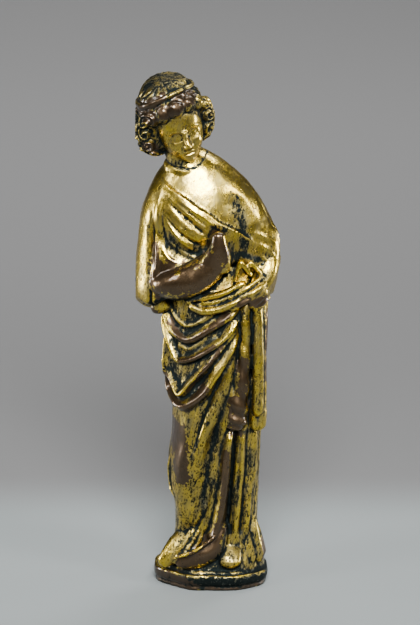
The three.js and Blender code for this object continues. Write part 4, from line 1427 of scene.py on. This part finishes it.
def gilt_copper(settings):
    """Gilding over cast copper. It is brightest on the crests, with rubbed gilding and a painted
    highlight, clouds over to olive where dirt lies thin and where shade is painted, and is near
    black in the hollows, in flecks and in small pits, and in the painted shade under and between
    parts. Where it is worn through, the copper shows a brown glossy skin."""
    material = bpy.data.materials.new("gilt_copper")
    material.use_nodes = True
    tree = material.node_tree
    shader = tree.nodes["Principled BSDF"]
    position = tree.nodes.new("ShaderNodeTexCoord").outputs["Object"]
    streaked = drawn_out(tree, position, *STREAKS)
    brushed = drawn_out(tree, position, *BRUSHING)
    crest, grime_and_shade = attribute_node(tree, "crest"), attribute_node(tree, "grime_and_shade")
    ragged, pits = ragged_mask_group(), pits_group()
    cloudy = noise_node(tree, position, CELLS["clouds"], 4.0, 0.6)
    broad = noise_node(tree, position, CELLS["broad_clouds"], 2.0, 0.5)
    scratches = noise_node(tree, brushed, CELLS["scratches"], 2.0, 0.6)
    patchy = noise_node(tree, drawn_out(tree, position, *PATCHES), CELLS["patches"], 4.0, 0.62)

    # The gilding, from thin to rubbed bright with a painted highlight on the crests, clouded over where dirt
    # lies on it and where shade is painted.
    thin = between_node(tree, sum_of(tree, (cloudy, 0.8), (scratches, 0.5)), 0.45, 0.85)
    gold = mixed(tree, thin, tuple(settings.gold), tuple(settings.deep_gold))
    # Painted highlight with rubbed gilding: the crests are turned to bright gold.
    gold = mixed(tree, between_node(tree, crest, 0.3, 1.1), gold, tuple(settings.bright_gold))
    # Olive stands for dirt, and for painted shade where the shaded patches lie.
    clouded = sum_of(tree, grime_and_shade, (patchy, 1.1), (broad, 0.4), (scratches, 0.4), -1.07)
    clouded = between_node(tree, clouded, 0.1, 0.75)
    gold = mixed(tree, clouded, gold, tuple(settings.olive))

    # The copper where it is worn through.
    worn = attribute_node(tree, "bare")
    bare = use_group(
        tree, ragged, Mask=worn, Position=position, Cells=CELLS["worn_edge"], Raggedness=1.5
    ).outputs["Mask"]
    toned = between_node(tree, sum_of(tree, grime_and_shade, (cloudy, 0.8), -0.4), 0.0, 0.9)
    copper = mixed(tree, toned, tuple(settings.copper), tuple(settings.dark_copper))
    metal = mixed(tree, bare, gold, copper)

    # The patina: flecks and pits, fewer on the bare copper. Where the shaded patches lie, the flecks are
    # painted shade.
    soil_and_shade = sum_of(tree, grime_and_shade, (math_node(tree, "MULTIPLY", grime_and_shade, bare), -0.7), (patchy, 1.8), -1.0)
    flecks = use_group(
        tree, ragged, Mask=soil_and_shade, Position=streaked, Cells=CELLS["flecks"], Raggedness=1.5
    ).outputs["Mask"]
    spots, fine_spots = (
        use_group(tree, pits, Position=streaked, Cells=CELLS[name], Amount=0.5).outputs["Pits"]
        for name in ("pits", "fine_pits")
    )
    pitted = math_node(tree, "MAXIMUM", spots, fine_spots)
    pitted = math_node(tree, "MULTIPLY", pitted, between_node(tree, grime_and_shade, 0.05, 0.35))
    pitted = math_node(tree, "MULTIPLY", pitted, sum_of(tree, 1.0, (bare, -0.8)))
    dark = math_node(tree, "MAXIMUM", flecks, pitted, clamp=True)
    tree.links.new(mixed(tree, dark, metal, tuple(settings.patina)), shader.inputs["Base Color"])

    gloss = math_node(tree, "MULTIPLY", bare, math_node(tree, "SUBTRACT", 1.0, dark))
    tree.links.new(sum_of(tree, 1.0, (gloss, -0.1)), shader.inputs["Metallic"])
    rough = sum_of(tree, 0.16, (cloudy, 0.22), (clouded, 0.18), (dark, 0.28))
    tree.links.new(rough, shader.inputs["Roughness"])
    tree.links.new(math_node(tree, "MULTIPLY", gloss, 0.4), shader.inputs["Coat Weight"])
    shader.inputs["Coat Roughness"].default_value = 0.08

    bump = tree.nodes.new("ShaderNodeBump")
    bump.inputs["Strength"].default_value = 0.5
    bump.inputs["Distance"].default_value = settings.grain_depth
    grain = noise_node(tree, streaked, CELLS["grain"], 3.0, 0.55)
    dents = noise_node(tree, streaked, CELLS["dents"], 2.0, 0.5)
    height = sum_of(tree, (dents, 2.0), (grain, 0.5), (scratches, 0.6), (dark, -0.6))
    tree.links.new(height, bump.inputs["Height"])
    tree.links.new(bump.outputs["Normal"], shader.inputs["Normal"])
    return material


def colour_property(name, description, *colour):
    """A colour that a user may change."""
    return FloatVectorProperty(
        name=name, description=description, subtype="COLOR", size=4, min=0, max=1, default=(*colour, 1)
    )


def length_property(name, description, length, least=0.0):
    """A length in metres that a user may change."""
    return FloatProperty(name=name, description=description, unit="LENGTH", default=length, min=least)


class FigureSettings(bpy.types.PropertyGroup):
    """Sizes of the casting."""

    cloth_grid: FloatProperty(
        name="Cloth Grid",
        description="Size in millimetres of the grid that the robes are fused on",
        default=0.2,
        min=0.15,
        max=1.0,
    )
    head_grid: FloatProperty(
        name="Head Grid",
        description="Size in millimetres of the grid that the head is fused on",
        default=0.14,
        min=0.1,
        max=1.0,
    )
    unevenness: FloatProperty(
        name="Unevenness",
        description="Height in millimetres of the casting's uneven surface",
        default=0.035,
        min=0.0,
        max=0.3,
    )


class FinishSettings(bpy.types.PropertyGroup):
    """Colours of the gilding, the copper and the patina."""

    gold: colour_property("Gold", "Gilding", 0.6, 0.417, 0.036)
    deep_gold: colour_property("Deep Gold", "Thin gilding", 0.36, 0.277, 0.08)
    # Bright gold lies on the crests: rubbed gilding and a painted highlight.
    bright_gold: colour_property("Bright Gold", "Rubbed gilding", 0.86, 0.6, 0.022)
    # Olive and patina are also painted shade where the shaded patches lie.
    olive: colour_property("Olive", "Clouded gilding", 0.056, 0.061, 0.052)
    copper: colour_property("Copper", "Bare copper", 0.08, 0.05, 0.024)
    dark_copper: colour_property("Dark Copper", "Toned copper", 0.03, 0.019, 0.01)
    patina: colour_property("Patina", "Dirt in the hollows", 0.007, 0.01, 0.0095)
    grain_depth: FloatProperty(
        name="Grain Depth",
        description="Depth of the casting's grain",
        default=0.00006,
        min=0.0,
        precision=6,
        unit="LENGTH",
    )


class StageSettings(bpy.types.PropertyGroup):
    """The camera, the floor and the surroundings."""

    camera_distance: length_property("Camera Distance", "From the figure", 2.0, 0.2)
    elevation: FloatProperty(
        name="Elevation", description="Of the camera", default=math.radians(17), subtype="ANGLE"
    )
    floor_colour: colour_property("Floor", "Colour of the floor", 0.13, 0.145, 0.145)
    middle_colour: colour_property("Middle Floor", "Its colour behind the figure", 0.083, 0.083, 0.083)
    far_colour: colour_property("Far Floor", "Its colour far away", 0.172, 0.172, 0.172)
    pale_to: length_property("Pale To", "The floor has its front colour up to this depth", 0.03)
    dark_from: length_property("Dark From", "It has its middle colour from this depth", 0.06)
    far_from: length_property("Far From", "It has its far colour from this depth", 0.32, 0.1)
    surroundings: colour_property("Surroundings", "Light from all round", 0.035, 0.036, 0.038)


class ANGEL_OT_figure(bpy.types.Operator):
    """The figure and its base, cast in one piece"""

    bl_idname = "angel.figure"
    bl_label = "Cast Figure"

    def execute(self, context):
        sizes = context.scene.angel_figure
        robes = [
            *base_parts(),
            *skirt_parts(),
            *mantle_parts(),
            *collar_parts(),
            *arm_parts(),
            *gathered_parts(),
            *hanging_parts(),
            *foot_parts(),
        ]
        finish = gilt_copper(context.scene.angel_finish)
        for name, parts, grid, unevenness, dirt in (
            ("angel_robes", robes, sizes.cloth_grid, sizes.unevenness, robe_darkening),
            ("angel_head", head_parts(), sizes.head_grid, sizes.unevenness / 3, head_dirt),
        ):
            piece = fused(name, parts, grid)
            finish_surface(piece, unevenness, dirt)
            thinned(piece)
            piece.data.materials.clear()
            piece.data.materials.append(finish)
            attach(piece, BODY)
            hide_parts(NODE)
        return {"FINISHED"}


FRAME_PIXELS = (420, 625)  # the photograph's frame
FOOT_PIXEL = (206.5, 576.8)  # where the middle of the figure's foot falls in it
PIXEL = 0.175 * MM  # the size of a pixel at the figure
SENSOR = 36.0  # millimetres, of the camera


def make_camera(settings):
    """The photograph's view: level left to right, looking down on the figure, from so far away
    that upright lines stay upright, aimed so that the foot falls on its pixel."""
    elevation = settings.elevation
    back = Vector((0, -math.cos(elevation), math.sin(elevation)))
    up = Vector((0, math.sin(elevation), math.cos(elevation)))
    across = (FRAME_PIXELS[0] / 2 - FOOT_PIXEL[0]) * PIXEL
    above = (FOOT_PIXEL[1] - FRAME_PIXELS[1] / 2) * PIXEL
    foot = Vector(-MIDDLE * MM)
    camera = bpy.data.objects.new("camera", bpy.data.cameras.new("camera"))
    camera.location = foot + Vector((across, 0, 0)) + up * above + back * settings.camera_distance
    camera.rotation_mode = "QUATERNION"
    camera.rotation_quaternion = (-back).to_track_quat("-Z", "Y")
    camera.data.sensor_width = SENSOR
    camera.data.lens = SENSOR * settings.camera_distance / (FRAME_PIXELS[1] * PIXEL)
    camera.data.clip_start = 0.01
    bpy.context.scene.collection.objects.link(camera)
    bpy.context.scene.camera = camera


# Lights: name, place, width, height, watts, spread of the beam in degrees, aim; in metres. The strips
# stand low and near, because from above an upright fold shows what stands low in front of it.
LIGHTS = [
    ("key", (0.02, -0.5, 0.42), 0.24, 0.19, 1.42, 50, (0, 0, 0.055)),
    ("right_front", (0.42, -0.3, 0.34), 0.12, 0.2, 0.2, 50, (0, 0, 0.055)),
    ("left_front", (-0.4, -0.2, 0.3), 0.12, 0.16, 0.12, 50, (0, 0, 0.06)),
    ("left_strip", (-0.27, 0.035, 0.035), 0.04, 0.07, 0.065, 60, (0, 0, 0.045)),
    ("right_strip", (0.27, 0.07, 0.03), 0.04, 0.06, 0.07, 60, (0, 0, 0.045)),
    ("back_strip", (0.2, 0.3, 0.45), 0.16, 0.1, 0.12, 40, (0, 0, 0.06)),
    ("floor_light", (-0.05, 0.35, 0.75), 0.35, 0.35, 1.3, 90, (-0.05, 0.35, 0)),
    ("front_floor_light", (0, -0.62, 0.6), 0.35, 0.35, 0.6, 70, (0, -0.62, 0)),
]


def make_lights():
    """Soft lamps, each aimed at the figure or at the floor."""
    for name, place, width, height, watts, spread, aim in LIGHTS:
        lamp = bpy.data.lights.new(name, "AREA")
        lamp.shape = "RECTANGLE"
        lamp.size = width
        lamp.size_y = height
        lamp.energy = watts
        lamp.spread = math.radians(spread)
        holder = bpy.data.objects.new(name, lamp)
        holder.location = place
        holder.rotation_mode = "QUATERNION"
        holder.rotation_quaternion = (Vector(aim) - Vector(place)).to_track_quat("-Z", "Y")
        bpy.context.scene.collection.objects.link(holder)


FLOOR_HALF = 1.6  # half the floor's side in metres
FLOOR_ROUGHNESS = 0.9


def make_floor(settings):
    """A plain floor in three tones by depth: pale under the figure and in front of it, dark behind
    it, and lighter again far away."""
    half = FLOOR_HALF
    corners = [(-half, -half, 0), (half, -half, 0), (half, half, 0), (-half, half, 0)]
    mesh = bpy.data.meshes.new("floor")
    mesh.from_pydata(corners, [], [(0, 1, 2, 3)])
    floor = bpy.data.objects.new("floor", mesh)
    material = bpy.data.materials.new("floor")
    material.use_nodes = True
    tree = material.node_tree
    shader = tree.nodes["Principled BSDF"]
    parts = tree.nodes.new("ShaderNodeSeparateXYZ")
    tree.links.new(tree.nodes.new("ShaderNodeTexCoord").outputs["Object"], parts.inputs[0])
    depth = parts.outputs["Y"]
    share = between_node(tree, depth, settings.pale_to, settings.dark_from)
    colour = mixed(tree, share, tuple(settings.floor_colour), tuple(settings.middle_colour))
    share = between_node(tree, depth, settings.dark_from, settings.far_from)
    colour = mixed(tree, share, colour, tuple(settings.far_colour))
    tree.links.new(colour, shader.inputs["Base Color"])
    shader.inputs["Roughness"].default_value = FLOOR_ROUGHNESS
    mesh.materials.append(material)
    bpy.context.scene.collection.objects.link(floor)
    floor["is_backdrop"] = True


class ANGEL_OT_stage(bpy.types.Operator):
    """The camera, the pale floor and the soft lights"""

    bl_idname = "angel.stage"
    bl_label = "Set Stage"

    def execute(self, context):
        settings = context.scene.angel_stage
        make_camera(settings)
        make_lights()
        make_floor(settings)
        world = bpy.data.worlds.new("surroundings")
        world.use_nodes = True
        background = world.node_tree.nodes["Background"]
        background.inputs["Color"].default_value = settings.surroundings
        context.scene.world = world
        return {"FINISHED"}


class ANGEL_PT_panel(bpy.types.Panel):
    """The figure's settings and its makers"""

    bl_idname = "ANGEL_PT_panel"
    bl_label = "Gilt Angel Figure"
    bl_space_type = "VIEW_3D"
    bl_region_type = "UI"
    bl_category = "Angel"

    def draw(self, context):
        for owner, operator in (
            (context.scene.angel_stage, ANGEL_OT_stage),
            (context.scene.angel_figure, ANGEL_OT_figure),
            (context.scene.angel_finish, None),
        ):
            for name in owner.__annotations__:
                self.layout.prop(owner, name)
            if operator:
                self.layout.operator(operator.bl_idname)


CLASSES = (
    FigureSettings,
    FinishSettings,
    StageSettings,
    ANGEL_OT_figure,
    ANGEL_OT_stage,
    ANGEL_PT_panel,
)


def register():
    for each in CLASSES:
        bpy.utils.register_class(each)
    bpy.types.Scene.angel_figure = PointerProperty(type=FigureSettings)
    bpy.types.Scene.angel_finish = PointerProperty(type=FinishSettings)
    bpy.types.Scene.angel_stage = PointerProperty(type=StageSettings)


def unregister():
    del bpy.types.Scene.angel_stage
    del bpy.types.Scene.angel_finish
    del bpy.types.Scene.angel_figure
    for each in reversed(CLASSES):
        bpy.utils.unregister_class(each)


def main():
    register()
    bpy.ops.angel.stage()
    bpy.ops.angel.figure()


if __name__ == "__main__":
    main()
